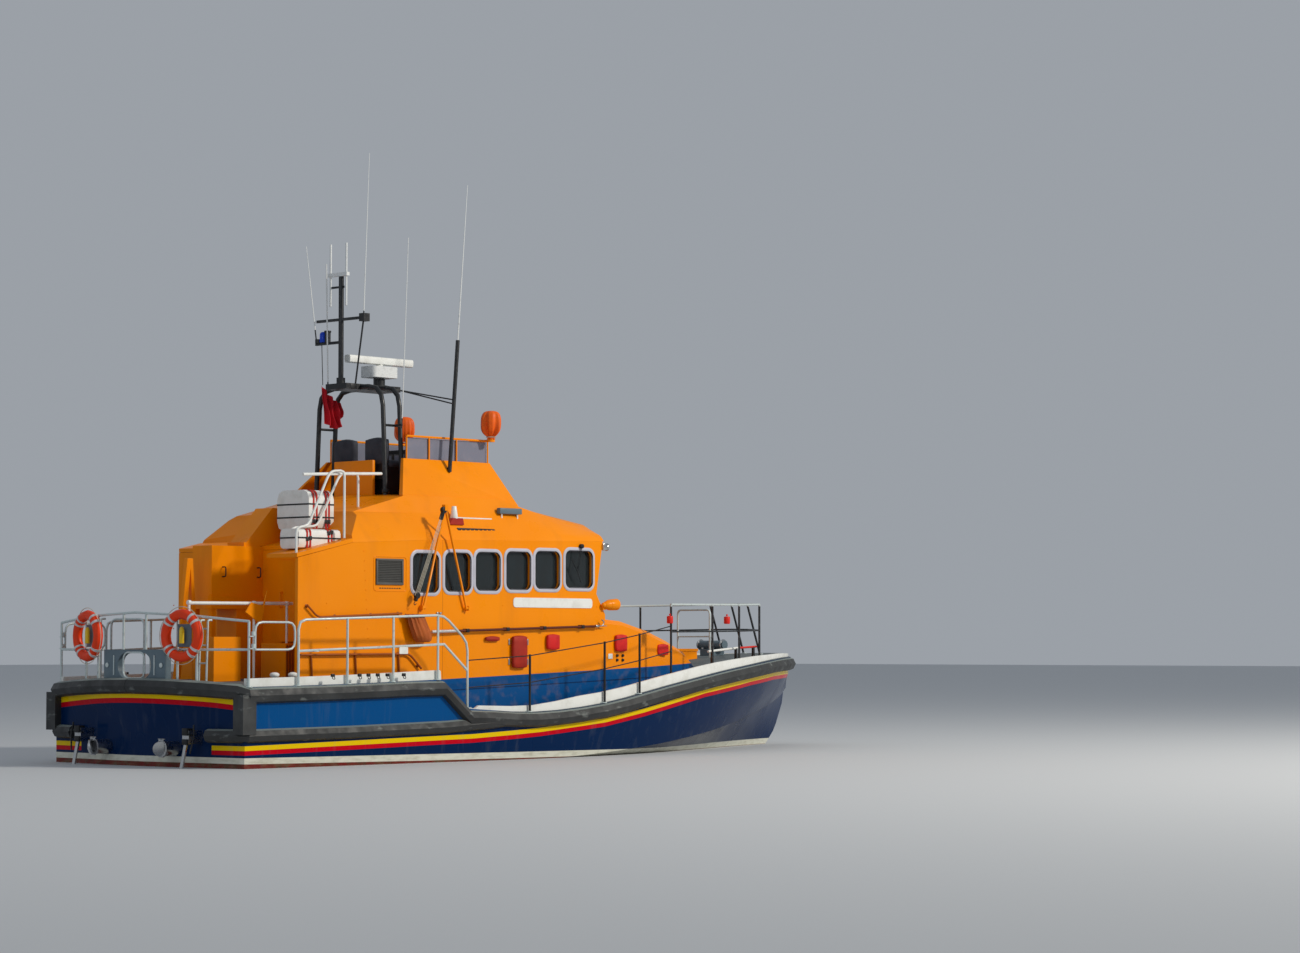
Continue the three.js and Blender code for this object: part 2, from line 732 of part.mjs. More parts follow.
// Inside the wheelhouse, as far as it shows through the glass. Seat columns: x, y
const CABIN_FLOOR = 1300;
const CABIN_SEATS = [
  [-3900, -760],
  [-3900, 760],
  [-2700, -760],
  [-2700, 760],
  [-1300, -620],
  [-1300, 620],
];
const cabinSeats = CABIN_SEATS.map(([x, y]) =>
  join(
    box([x - 60, x + 60], [y - 60, y + 60], [CABIN_FLOOR - 20, 1700]),
    box([x - 230, x + 230], [y - 230, y + 230], [1690, 1800]),
    box([x - 260, x - 150], [y - 220, y + 220], [1750, 2560]),
  ),
);
const cabinFloor = box([-4900, 250], [-1500, 1500], [600, CABIN_FLOOR]);
const helmConsole = prism(
  "y",
  [
    [-420, CABIN_FLOOR - 20],
    [200, CABIN_FLOOR - 20],
    [380, 2300],
    [300, 2420],
    [-200, 2250],
  ],
  [-1350, 1350],
);
addPiece("cabin_fittings", seatOnDeck(join(cabinFloor, cabinSeats, helmConsole)), BLACK);

// Aft door: it lies against the aft bulkhead and swings aft on its outboard edge
const doorLeaf = box([BULKHEAD_X - 51, BULKHEAD_X - 6], [-1265, -615], [1752, 2930]);
const doorKnuckles = KNUCKLES.map((z) =>
  join(
    rod([...DOOR_HINGE, z], [...DOOR_HINGE, z + KNUCKLE_HIGH], 14, 10),
    box([BULKHEAD_X - 40, BULKHEAD_X - 20], [-1290, -1260], [z, z + KNUCKLE_HIGH]),
  ),
);
const doorHandle = tube(
  rounded(
    [
      [BULKHEAD_X - 49, -700, 2250],
      [BULKHEAD_X - 100, -700, 2250],
      [BULKHEAD_X - 100, -700, 2470],
      [BULKHEAD_X - 49, -700, 2470],
    ],
    25,
    2,
  ),
  11,
);
addPiece("aft_door", join(doorLeaf, doorKnuckles, doorHandle), ORANGE);

// Engine casing on the aft deck: a narrow box on posts, with a trunk up to the alcove roof
const CASING_X = [-6030, BULKHEAD_X - GAP];
const casing = join(
  box(CASING_X, [-CASING_HALF, CASING_HALF], [2405, 3140]),
  box([-6045, CASING_X[1]], [-CASING_HALF - 18, CASING_HALF + 18], [2225, 2410]),
  box([-6030, -5950], [-CASING_HALF, -CASING_HALF + 70], [900, 2300]),
  box([-6030, -5950], [CASING_HALF - 70, CASING_HALF], [900, 2300]),
  box([-5560, CASING_X[1]], [-CASING_HALF, CASING_HALF], [900, 2300]),
);
const ventTrunk = prism(
  "y",
  [
    [-5420, 3130],
    [-4672, 3130],
    [-4672, 3715],
    [-4860, 3715],
  ],
  [-185, 185],
);
const aroundCasing = box([CASING_X[0], CASING_X[1]], [-CASING_HALF, CASING_HALF], [2000, 3140]);
const ventCut = onRoofs(ventTrunk.subtract(aroundCasing));
addPiece(
  "engine_casing",
  seatOnDeck(join(casing, ventCut, box([-5400, -5100], [-185, 185], [3100, 3200]))),
  ORANGE,
);

// Towing post: an inverted V of flat bars on the centreline, just aft of the casing
const towingPost = prism(
  "y",
  [
    [-6330, 2950],
    [-6570, 900],
    [-6480, 900],
    [-6270, 2800],
    [-6150, 900],
    [-6075, 900],
    [-6230, 2950],
  ],
  [-35, 35],
);
addPiece("towing_post", seatOnDeck(towingPost), ORANGE);
addPiece("deck_locker", seatOnDeck(box([-6560, -6060], [-900, -450], [900, 1820])), ORANGE);
addPiece("boarding_step", seatOnDeck(box([-5500, -5150], [-1220, -690], [900, 1730])), ORANGE);

// Flying bridge: a coaming with sides leaning in, open on top and aft. Rows are one end's
// outline as x, half width, height, at the foot and at the top.
const COAMING_AFT = [
  [-3280, 1290, 3700],
  [-3280, 1290, 3930],
  [-2860, BRIDGE_HALF, 4510],
];
const COAMING_FRONT = [
  [-760, 1290, 3700],
  [-820, 1270, 3850],
  [-1030, BRIDGE_HALF, 4510],
];
const closedCoaming = (inset, aftShift, frontShift, rise) =>
  loft([
    coamingBlock(COAMING_AFT, inset, aftShift, rise),
    coamingBlock(COAMING_FRONT, inset, frontShift, rise),
  ]);
function coamingBlock(rows, inset, shift, rise) {
  const lift = (i) => (i === 2 ? rise : 0);
  const port = rows.map(([x, half, z], i) => [x + shift, half - inset, z + lift(i)]);
  const starboard = rows.map(([x, half, z], i) => [x + shift, inset - half, z + lift(i)]).reverse();
  return [...port, ...starboard].map(vec);
}
const COAMING_WALL = 70;
const flyingBridge = closedCoaming(0, 0, 0, 0).subtract(
  closedCoaming(COAMING_WALL, -400, -COAMING_WALL, 30),
);
addPiece("flying_bridge", onRoofs(flyingBridge), ORANGE);

// Windscreen round the flying bridge: a rim on struts, and the panes inside them
const RIM_Z = 4850;
const RIM_X = [-2780, -1050];
const COAMING_TOP = 4510 + GAP;
const STRUT_HALF = BRIDGE_HALF - 18;
// Strut columns: x, y
const STRUTS = [RIM_X[0], -2310, -1730, RIM_X[1] - 10].flatMap((x) => [
  [x, -STRUT_HALF],
  [x, STRUT_HALF],
]);
const LIGHT_Y = 970;
const LIGHT_X = -1110;
const LIGHT_FOOT = 4870;
const lightStand = join(
  tube(
    [
      [RIM_X[1] - 60, -STRUT_HALF + 40, RIM_Z],
      [LIGHT_X, -LIGHT_Y, RIM_Z],
    ],
    20,
  ),
  rod([LIGHT_X, -LIGHT_Y, RIM_Z - 22], [LIGHT_X, -LIGHT_Y, LIGHT_FOOT - RUNNING_GAP], 60, 10),
);
const windscreenFrame = join(
  tube(
    rounded(
      [
        [RIM_X[0], -STRUT_HALF, RIM_Z],
        [RIM_X[1], -STRUT_HALF, RIM_Z],
        [RIM_X[1], STRUT_HALF, RIM_Z],
        [RIM_X[0], STRUT_HALF, RIM_Z],
      ],
      90,
      2,
    ),
    18,
  ),
  STRUTS.map(([x, y]) => rod([x, y, COAMING_TOP], [x, y, RIM_Z], 14, 6)),
  lightStand,
  mirrorY(lightStand),
);
addPiece("windscreen_frame", windscreenFrame, ORANGE);
const PANE_HALF = STRUT_HALF - 20;
const paneRing = (half, front, aft) => [
  [aft, -half],
  [front, -half],
  [front, half],
  [aft, half],
];
const screenOuter = prism("z", paneRing(PANE_HALF, RIM_X[1] - 20, RIM_X[0]), [COAMING_TOP, RIM_Z - 22]);
const screenInner = prism("z", paneRing(PANE_HALF - 8, RIM_X[1] - 28, RIM_X[0] - 50), [4400, 4900]);
addPiece("windscreen_panes", screenOuter.subtract(screenInner), SCREEN);

// Searchlights under fabric covers, on the rim's front corners
// Columns: height above its foot, radius
const COVER_ROWS = [
  [0, 70],
  [60, 120],
  [180, 178],
  [330, 178],
  [440, 110],
];
const COVER_SIDES = 10;
const lightCover = loft(
  COVER_ROWS.map(([high, radius]) =>
    Array.from({ length: COVER_SIDES }, (_, i) => {
      const angle = (i / COVER_SIDES) * 2 * Math.PI;
      return vec([
        LIGHT_X + radius * Math.cos(angle),
        -LIGHT_Y + radius * Math.sin(angle),
        LIGHT_FOOT + high,
      ]);
    }),
  ),
);
addPair("searchlight", lightCover, CANVAS);

// Flying bridge console and seats
const bridgeFittings = join(
  box([-2100, -1700], [-500, 500], [3800, 4700]),
  box([-2760, -1800], [-330, -250], [3800, 4050]),
  box([-2760, -1800], [250, 330], [3800, 4050]),
  box([-2900, -2480], [-560, -130], [3990, 4420]),
  box([-2900, -2480], [130, 560], [3990, 4420]),
  box([-2960, -2870], [-550, -140], [4200, 4800]),
  box([-2960, -2870], [140, 550], [4200, 4800]),
);
addPiece("bridge_console", onRoofs(bridgeFittings), BLACK);

// Liferafts in white canisters on the alcove roof
const canister = (x, y, z) =>
  prism("x", roundedRectangle(y, z, Math.min(y[1] - y[0], z[1] - z[0]) * 0.22, 2), x);
addPiece(
  "liferaft_low",
  onRoofs(canister([-5520, -4715], [-1510, -1110], [3080, 3365])),
  WHITE,
);
const raftCradle = box([-4860, -4680], [-900, -460], [3100, 3400]);
addPiece(
  "liferaft_high",
  onRoofs(join(canister([-4892, -4407], [-1020, -330], [3370, 3960]), raftCradle)),
  WHITE,
);

// Handrails up the roof steps: S-shaped tubes with a post, one outboard, one on the roof edge.
// Columns: x, z
const OUTER_HANDRAIL = [
  [-5690, 3000],
  [-5690, 3370],
  [-5470, 3400],
  [-5090, 4130],
  [-5010, 4200],
  [-4775, 4215],
  [-4775, 3240],
];
const INNER_HANDRAIL = [
  [-5300, 3100],
  [-5280, 3390],
  [-4780, 3430],
  [-4370, 4150],
  [-4290, 4215],
  [-3980, 4230],
  [-3980, 3700],
];
const handrail = (rows, y) =>
  tube(rounded(rows.map(([x, z]) => [x, y, z]), 80, 2), RAIL_RADIUS);
addPiece("roof_handrail_outer", onRoofs(handrail(OUTER_HANDRAIL, -1650)), WHITE);
addPiece("roof_handrail_inner", onRoofs(handrail(INNER_HANDRAIL, -1078)), WHITE);

// Gantry: two hoops standing on the roof inside the coaming, with a platform across them
const HOOPS_X = [-3140, -2800];
const HOOP_FOOT = 780;
const HOOP_SHOULDER = 690;
const GANTRY_RADIUS = 38;
const PLATFORM_X = [-3450, -2330];
const platformTop = GANTRY_TOP + 45;
const hoops = HOOPS_X.map((x) =>
  tube(
    rounded(
      [
        [x, -HOOP_FOOT, 3800],
        [x, -HOOP_SHOULDER, GANTRY_TOP],
        [x, HOOP_SHOULDER, GANTRY_TOP],
        [x, HOOP_FOOT, 3800],
      ],
      300,
      3,
    ),
    GANTRY_RADIUS,
    8,
  ),
);
const AERIAL_BASE = [-2015, -985, 4330];
const AERIAL_TIP = [-1650, -985, 8750];
const aerialAt = (z) => {
  const t = (z - AERIAL_BASE[2]) / (AERIAL_TIP[2] - AERIAL_BASE[2]);
  return [AERIAL_BASE[0] + (AERIAL_TIP[0] - AERIAL_BASE[0]) * t, AERIAL_BASE[1], z];
};
const stayEnds = [5380, 5440];
const MAST_X = -3350;
const RADAR_X = -2560;
const GEARBOX_TOP = 5950;
const SIDE_WHIP_X = -2970; // a whip aerial on a bracket beside the hoops
const gantry = join(
  hoops,
  box(PLATFORM_X, [-230, 230], [GANTRY_TOP - 40, platformTop]),
  tube([[HOOPS_X[0], -735, 5000], [HOOPS_X[1], -735, 5000]], 20),
  tube([[HOOPS_X[0], 735, 5000], [HOOPS_X[1], 735, 5000]], 20),
  rod([RADAR_X, 0, GANTRY_TOP], [RADAR_X, 0, 5790], 90, 10),
  prism("z", roundedRectangle([RADAR_X - 260, RADAR_X + 260], [-165, 165], 60, 2), [5780, GEARBOX_TOP]),
  stayEnds.map((z) => {
    const [x, y] = aerialAt(z);
    return rod([-2350, -200, GANTRY_TOP], [x - 8, y + 41, z], 11);
  }),
  rod([-3430, 200, platformTop - 20], [-3460, 215, 7470], 12, 5),
  tube([[SIDE_WHIP_X, -720, 5000], [SIDE_WHIP_X, -945, 5000]], 16),
  rod([SIDE_WHIP_X, -940, 4950], [SIDE_WHIP_X + 120, -940, 7830], 10, 5, 6),
);
addPiece("gantry", onRoofs(gantry), BLACK);

// Mast with its cross-tree, lower bracket, lamp, dome, aerials and flag halyard
const MAST_TOP = 7290;
const mast = join(
  rod([MAST_X, 0, platformTop + GAP], [MAST_X, 0, platformTop + 90], 70, 8),
  rod([MAST_X, 0, platformTop + 50], [MAST_X, 0, MAST_TOP], 42, 8),
  box([MAST_X - 30, MAST_X + 30], [-150, 280], [MAST_TOP - 10, MAST_TOP + 45]),
  [-110, 240].map((y) => rod([MAST_X, y, 6830], [MAST_X, y, 7780], 17, 6)),
  [-110, 240].map((y) => box([MAST_X - 10, MAST_X + 10], [Math.min(y, 0), Math.max(y, 0)], [7100, 7130])),
  box([MAST_X - 22, MAST_X + 22], [-480, 560], [6600, 6640]),
  box([MAST_X - 60, MAST_X + 60], [-570, -460], [6560, 6680]),
  rod([MAST_X, -500, 6650], [MAST_X + 120, -480, 9120], 11, 5, 5),
  rod([MAST_X + 110, -205, platformTop + GAP], [MAST_X, -500, 6610], 14, 6),
  rod([MAST_X, 545, 6270], [MAST_X - 50, 740, 7790], 12, 5, 6),
  box([MAST_X - 20, MAST_X + 20], [-20, 560], [6255, 6295]),
  rod([MAST_X, 300, 6290], [MAST_X, 300, 6440], 48, 8),
  rod([MAST_X, 500, 6290], [MAST_X, 500, 6350], 60, 8),
  rod([MAST_X - 10, 420, 6260], [-3418, 330, 5641.7], 7, 5),
).subtract(box(PLATFORM_X, [-230, 230], [platformTop - 60, platformTop + GAP]));
addPiece("mast", mast, BLACK);

// Flag, hanging in folds from its halyard
const flag = prism(
  "y",
  [
    [-3430, 5640],
    [-3400, 5300],
    [-3380, 5080],
    [-3250, 5010],
    [-3060, 5080],
    [-2990, 5250],
    [-3020, 5400],
    [-3200, 5480],
    [-3330, 5560],
    [-3405, 5640],
  ],
  [305, 355],
);
addPiece("flag", flag, RED);

// Radar: a bar scanner turning on its gearbox
const scanner = join(
  rod([RADAR_X, 0, GEARBOX_TOP + RUNNING_GAP], [RADAR_X, 0, 5990], 55, 10),
  prism("x", roundedRectangle([-65, 65], [5980, 6100], 30, 2), [RADAR_X - 660, RADAR_X + 660]),
);
addPiece("radar_scanner", scanner, WHITE);

// Tall aerial on the starboard coaming
const aerialFoot = join(
  tube([AERIAL_BASE, aerialAt(6350)], 32, 6),
  tube([aerialAt(6340), AERIAL_TIP], 14, 5, 6),
  tube([aerialAt(4380), [aerialAt(4380)[0], -900, 4380]], 22, 6),
).subtract(closedCoaming(0, 0, 0, 0).translate([0, -GAP, 0]));
addPiece("tall_aerial", largest(aerialFoot), BLACK);

// Rails. Heights are above the deck edge, y is measured in from it.
const RAIL_INSET = 25;
const POST_FOOT = -8; // where a post's foot is cut, just under the deck
const railPoint = (x, high, inset = RAIL_INSET) => [x, -deckHalf(x) + inset, deckEdge(x) + high];
const post = (x, high, inset = RAIL_INSET) =>
  tube([railPoint(x, POST_FOOT, inset), railPoint(x, high, inset)], RAIL_RADIUS);

// Stern rail with its corner posts
const STERN_RAIL_IN = 75; // how far it stands in from the transom
const sternRailX = (y) => transomX(y) + STERN_RAIL_IN;
const STERN_RAIL_X = sternRailX(2085);
// Columns: y, height of the top rail
const STERN_TOP = [
  [-2085, 2030],
  [-1050, 2120],
  [0, 2165],
  [1050, 2120],
  [2085, 2030],
];
const PANEL_HALF = 680;
const PANEL_X = [-7258, -7148];
const PANEL_FOOT = 1165; // just under the deck
const PANEL_TOP = 1640;
const MID_RAIL = 1640;
const GATE_PIVOT = [-6880, -2115]; // x, y of the gate's hinge line
const GATE_KNUCKLES = [1690, 1860]; // heights
const KNUCKLE_HALF = 30;
const gateLugs = GATE_KNUCKLES.map((height) => {
  const z = [height - KNUCKLE_HALF - 15, height - KNUCKLE_HALF - RUNNING_GAP];
  const [x, y] = GATE_PIVOT;
  return join(
    box([STERN_RAIL_X - 5, x + 10], [y - 10, y + 10], z),
    box([STERN_RAIL_X - 8, STERN_RAIL_X + 12], [y - 10, y + 32], z),
  );
});
const sternPosts = [-2085, -1230, -880, 880, 1230, 2085];
const midRailEnds = [-2085, -PANEL_HALF - 60];
const PANEL_POSTS = [-250, 250]; // short posts that stand on the fairlead panel
// A rail from one y to another, along the curve of the stern
const sternRun = (from, to, height) => {
  const steps = Math.ceil(Math.abs(to - from) / 350);
  const path = Array.from({ length: steps + 1 }, (_, i) => {
    const y = from + ((to - from) * i) / steps;
    return [sternRailX(y), y, height(y)];
  });
  return tube(path, RAIL_RADIUS);
};
const sternMidRail = sternRun(midRailEnds[0], midRailEnds[1], () => MID_RAIL);
const sternDeck = (y) =>
  deckEdge(TRANSOM_X) + DECK_CAMBER * (1 - (y / deckHalf(TRANSOM_X)) ** 2);
const sternPost = (y, foot) =>
  tube([[sternRailX(y), y, foot], [sternRailX(y), y, along(STERN_TOP, y)]], RAIL_RADIUS);
const sternRail = join(
  sternRun(STERN_TOP[0][0], STERN_TOP.at(-1)[0], (y) => along(STERN_TOP, y)),
  sternMidRail,
  mirrorY(sternMidRail),
  sternPosts.map((y) => sternPost(y, sternDeck(y) - 12)),
  gateLugs,
  gateLugs.map(mirrorY),
  PANEL_POSTS.map((y) => sternPost(y, PANEL_TOP + GAP)),
);
addPiece("stern_rail", seatOnDeck(sternRail), RAIL_GREY);

// Stern fairlead: a panel on the centreline with a long rounded hole
const FAIRLEAD_HOLE_Y = [-370, 370];
const FAIRLEAD_HOLE_Z = [1235, 1590];
const fairlead = box(PANEL_X, [-PANEL_HALF, PANEL_HALF], [PANEL_FOOT, PANEL_TOP])
  .subtract(prism("x", roundedRectangle(FAIRLEAD_HOLE_Y, FAIRLEAD_HOLE_Z, 170, 4), [-7400, -7100]));
addPiece("stern_fairlead", seatOnDeck(fairlead), PANEL_GREY);

// Side rails aft, and the gate between each and the stern rail's corner post
const LAST_POST = -2890;
const railAt = ([x, z]) => [x, -deckHalf(x) + RAIL_INSET, z];
// Columns: x, height
const SIDE_RAIL_TOP = [
  [-6070, 2055],
  [-3360, 2140],
  [LAST_POST, 1750],
];
const SIDE_RAIL_MIDDLE = [
  [-6070, 1620],
  [-3350, 1715],
  [LAST_POST, 1330],
];
const SIDE_POSTS = [-5190, -4330, -3470];
const sideRail = join(
  tube(
    rounded(
      [
        railPoint(SIDE_RAIL_TOP[0][0], POST_FOOT),
        ...SIDE_RAIL_TOP.map(railAt),
        railPoint(LAST_POST, POST_FOOT),
      ],
      130,
      2,
    ),
    RAIL_RADIUS,
  ),
  tube(SIDE_RAIL_MIDDLE.map(railAt), RAIL_RADIUS),
  SIDE_POSTS.map((x) => post(x, along(SIDE_RAIL_TOP, x) - deckEdge(x))),
);
addPiece("side_rail_starboard", seatOnDeck(sideRail), RAIL_GREY);
addPiece("side_rail_port", seatOnDeck(mirrorY(sideRail)), RAIL_GREY);
const GATE_X = [-6845, -6115];
const GATE_Y = GATE_PIVOT[1];
const GATE_Z = [1640, 2020];
const gateKnuckles = GATE_KNUCKLES.map((z) =>
  join(
    rod([...GATE_PIVOT, z - KNUCKLE_HALF], [...GATE_PIVOT, z + KNUCKLE_HALF], 26, 8),
    tube([[...GATE_PIVOT, z], [GATE_X[0], GATE_Y, z]], 14),
  ),
);
const gate = join(
  tube(
    rounded(
      [
        [GATE_X[0], GATE_Y, GATE_Z[0] - 10],
        [GATE_X[0], GATE_Y, GATE_Z[1]],
        [GATE_X[1], GATE_Y, GATE_Z[1]],
        [GATE_X[1], GATE_Y, GATE_Z[0]],
        [GATE_X[0] - 5, GATE_Y, GATE_Z[0]],
      ],
      130,
      3,
    ),
    16,
  ),
  gateKnuckles,
);
addPair("rail_gate", gate, RAIL_GREY);

// Guard rails forward of the side rails: stanchions and two wires each side
// Columns: x, height of the top wire, how far in from the deck edge
const PULPIT_INSET = 190;
const GUARD_TOPS = [
  [LAST_POST + 18.5, 1480, RAIL_INSET],
  [-1610, 1545, RAIL_INSET],
  [30, 1740, RAIL_INSET],
  [850, 1865, RAIL_INSET],
  [1830, 2000, PULPIT_INSET],
];
const STANCHIONS = GUARD_TOPS.slice(1, -1);
const WIRE_SPACING = 400;
const guardPoint = ([x, top, inset], drop) => [x, -deckHalf(x) + inset, top - drop];
const guardRail = join(
  STANCHIONS.map((row) =>
    tube([railPoint(row[0], POST_FOOT), guardPoint(row, -20)], RAIL_RADIUS),
  ),
  [0, WIRE_SPACING].map((drop) =>
    tube(GUARD_TOPS.map((row) => guardPoint(row, drop)), WIRE_RADIUS, 5),
  ),
);
addPiece("guard_rail_starboard", seatOnDeck(guardRail), BLACK);
addPiece("guard_rail_port", seatOnDeck(mirrorY(guardRail)), BLACK);

// Pulpit: a high rail round the foredeck
const PULPIT_MID_DROP = 430;
const PULPIT_POSTS = [
  [1850, 2345],
  [3050, 2355],
  [3970, 2365],
  [4850, 2380],
];
const pulpitSide = PULPIT_POSTS.map(([x, z]) => [x, -deckHalf(x) + PULPIT_INSET, z]);
// Its front, rounded ahead of the last side post. Columns: x, y, z
const PULPIT_FRONT = [
  [5440, -690, 2395],
  [5620, -420, 2400],
  [5690, 0, 2405],
];
const FRONT_RAKE = 430; // how far each front post leans aft
const pulpitLine = (drop) => {
  const starboard = [...pulpitSide, ...PULPIT_FRONT].map(([x, y, z]) => [x, y, z - drop]);
  return [...starboard, ...starboard.slice(0, -1).map(([x, y, z]) => [x, -y, z]).reverse()];
};
const frontPost = ([x, y, z]) => tube([[x + FRONT_RAKE, y, 1300], [x, y, z]], RAIL_RADIUS);
const pulpitHalf = join(
  pulpitSide.map(([x, y, z]) => tube([[x, y, deckEdge(x) - 60], [x, y, z]], RAIL_RADIUS)),
  frontPost(PULPIT_FRONT[1]),
);
const pulpit = join(
  tube(pulpitLine(0), RAIL_RADIUS),
  tube(pulpitLine(PULPIT_MID_DROP), 13, 6),
  pulpitHalf,
  mirrorY(pulpitHalf),
  frontPost(PULPIT_FRONT[2]),
);
addPiece("pulpit", seatOnDeck(pulpit), RAIL_GREY);

// Lifebuoys hung outside the stern rail
const BUOY_TURN = 0.155; // it lies along the rail's curve
const BUOY_CENTRE = [-7263, -1050, 1835];
const buoy = solid(
  new THREE.TorusGeometry(300, 72, 8, 20)
    .rotateY(Math.PI / 2)
    .rotateZ(BUOY_TURN)
    .translate(...BUOY_CENTRE),
);
addPair("lifebuoy", buoy, BUOY_ORANGE);

// Foredeck hatch: a coaming with a lid that lifts on its forward edge
const HATCH_X = [3850, 4450];
const HATCH_HALF = 310;
const HATCH_TOP = 1600;
const hatchCoaming = box(HATCH_X, [-HATCH_HALF, HATCH_HALF], [1000, HATCH_TOP]).subtract(
  box([HATCH_X[0] + 40, HATCH_X[1] - 40], [-HATCH_HALF + 40, HATCH_HALF - 40], [900, HATCH_TOP + 10]),
);
const HATCH_PIVOT = [HATCH_X[1] + 45, HATCH_TOP + 22];
const LID_LAP = 12; // how far the lid stands over the coaming's sides
const hatchLid = join(
  box(
    [HATCH_X[0] - LID_LAP, HATCH_X[1] + LID_LAP],
    [-HATCH_HALF - LID_LAP, HATCH_HALF + LID_LAP],
    [HATCH_TOP + RUNNING_GAP, HATCH_TOP + 45],
  ),
  [-200, 160].map((y) =>
    join(
      rod([HATCH_PIVOT[0], y, HATCH_PIVOT[1]], [HATCH_PIVOT[0], y + 40, HATCH_PIVOT[1]], 12, 8),
      box([HATCH_X[1], HATCH_PIVOT[0]], [y, y + 40], [HATCH_TOP + 12, HATCH_TOP + 32]),
    ),
  ),
);
addPiece("hatch_coaming", seatOnDeck(hatchCoaming), ORANGE);
addPiece("foredeck_hatch", hatchLid, ORANGE);

// Windlass on the foredeck
const windlass = join(
  box([5050, 5330], [-150, 150], [1400, 1640]),
  rod([5190, -290, 1710], [5190, 290, 1710], 75, 12),
  box([5140, 5240], [-60, 60], [1610, 1770]),
);
addPiece("windlass", seatOnDeck(windlass), PANEL_GREY);

// Derrick: an A-frame that hinges at its feet on the wheelhouse side and leans outboard
const DERRICK_APEX = [-2900, -1800, 3740];
const derrick = join(
  DERRICK_FEET.map((x) =>
    join(
      rod([x, DERRICK_PIVOT[0], DERRICK_PIVOT[1]], DERRICK_APEX, 19, 6),
      rod([x - DERRICK_EYE, ...DERRICK_PIVOT], [x + DERRICK_EYE, ...DERRICK_PIVOT], 24, 8),
    ),
  ),
  box([-2930, -2870], [-1835, -1765], [3690, 3780]),
);
addPiece("derrick", derrick, ORANGE);

// Rope bag hung on the wheelhouse side below the derrick
addPiece(
  "rope_bag",
  prism("y", roundedRectangle([-3650, -3290], [1730, 2130], 90, 2), [-1850, -HOUSE_HALF - GAP]),
  CANVAS,
);

// Transom fittings: exhaust outlets and trim tabs with their rams
const EXHAUST = [-760, 260];
const exhaust = join(
  rod([-7050, ...EXHAUST], [-7370, ...EXHAUST], 105, 12),
  rod([-7355, ...EXHAUST], [-7385, ...EXHAUST], 125, 12),
).subtract(rod([-7325, ...EXHAUST], [-7440, ...EXHAUST], 85, 12));
addPair("exhaust", clearOfHull(exhaust, [-1, 0, 0]), STEEL);
const TAB_Y = -1200;
const trimTab = join(
  box([-7500, -7050], [TAB_Y - 330, TAB_Y + 330], [-395, -370]),
  box([-7310, -7050], [TAB_Y - 70, TAB_Y + 70], [330, 520]),
  rod([-7275, TAB_Y, 450], [-7460, TAB_Y, -380], 30, 8),
  box([-7260, -7050], [TAB_Y - 330, TAB_Y + 330], [-395, -250]),
);
addPair("trim_tab", clearOfHull(trimTab, [-1, 0, 0]), STEEL);

// Shafts with their brackets, propellers and rudders
const PROP_X = -6130;
const PROP_Z = -850;
const SHAFT_TILT = THREE.MathUtils.degToRad(8);
const shaftAt = (distance) => [
  PROP_X + distance * Math.cos(SHAFT_TILT),
  -SHAFT_Y,
  PROP_Z + distance * Math.sin(SHAFT_TILT),
];
const HUB_HALF = 75;
const shaft = join(
  tube([shaftAt(HUB_HALF + 0.5), shaftAt(2400)], 32, 8),
  tube([shaftAt(HUB_HALF + 12), shaftAt(HUB_HALF + 250)], 62, 10),
  prism(
    "x",
    [
      [-SHAFT_Y - 18, PROP_Z],
      [-SHAFT_Y + 18, PROP_Z],
      [-SHAFT_Y + 60, 0],
      [-SHAFT_Y + 20, 0],
    ],
    [shaftAt(HUB_HALF + 70)[0], shaftAt(HUB_HALF + 200)[0]],
  ),
);
const underHull = (body) => largest(clearOfHull(body, [0, 0, -1]));
addPiece("shaft_starboard", underHull(shaft), STEEL);
addPiece("shaft_port", underHull(mirrorY(shaft)), STEEL);
const BLADES = 4;
// Blade columns: radius, chord, thickness, pitch angle in degrees
const BLADE_ROWS = [
  [40, 110, 34, 60],
  [80, 145, 30, 52],
  [115, 175, 27, 46],
  [150, 200, 24, 40],
  [195, 215, 20, 35],
  [240, 210, 16, 30],
  [285, 170, 13, 27],
  [325, 100, 10, 25],
];
function propeller(hand) {
  const blade = (turn) =>
    loft(
      BLADE_ROWS.map(([radius, chord, thick, degrees]) => {
        const pitch = THREE.MathUtils.degToRad(degrees) * hand;
        return [
          [-chord / 2, 0],
          [0, thick / 2],
          [chord / 2, 0],
          [0, -thick / 2],
        ].map(([u, v]) => {
          const p = new THREE.Vector3(
            u * Math.cos(pitch) - v * Math.sin(pitch),
            u * Math.sin(pitch) + v * Math.cos(pitch),
            radius,
          );
          return new THREE.Vector3(p.y, p.x, p.z).applyAxisAngle(new THREE.Vector3(1, 0, 0), turn);
        });
      }),
    );
  const blades = Array.from({ length: BLADES }, (_, i) => blade((i / BLADES) * 2 * Math.PI));
  const hub = rod([HUB_HALF, 0, 0], [-HUB_HALF - 40, 0, 0], 60, 12, 44);
  return join(hub, blades).rotate([0, -8, 0]);
}
addPiece("propeller_starboard", propeller(1).translate([PROP_X, -SHAFT_Y, PROP_Z]), BRONZE);
addPiece("propeller_port", propeller(-1).translate([PROP_X, SHAFT_Y, PROP_Z]), BRONZE);
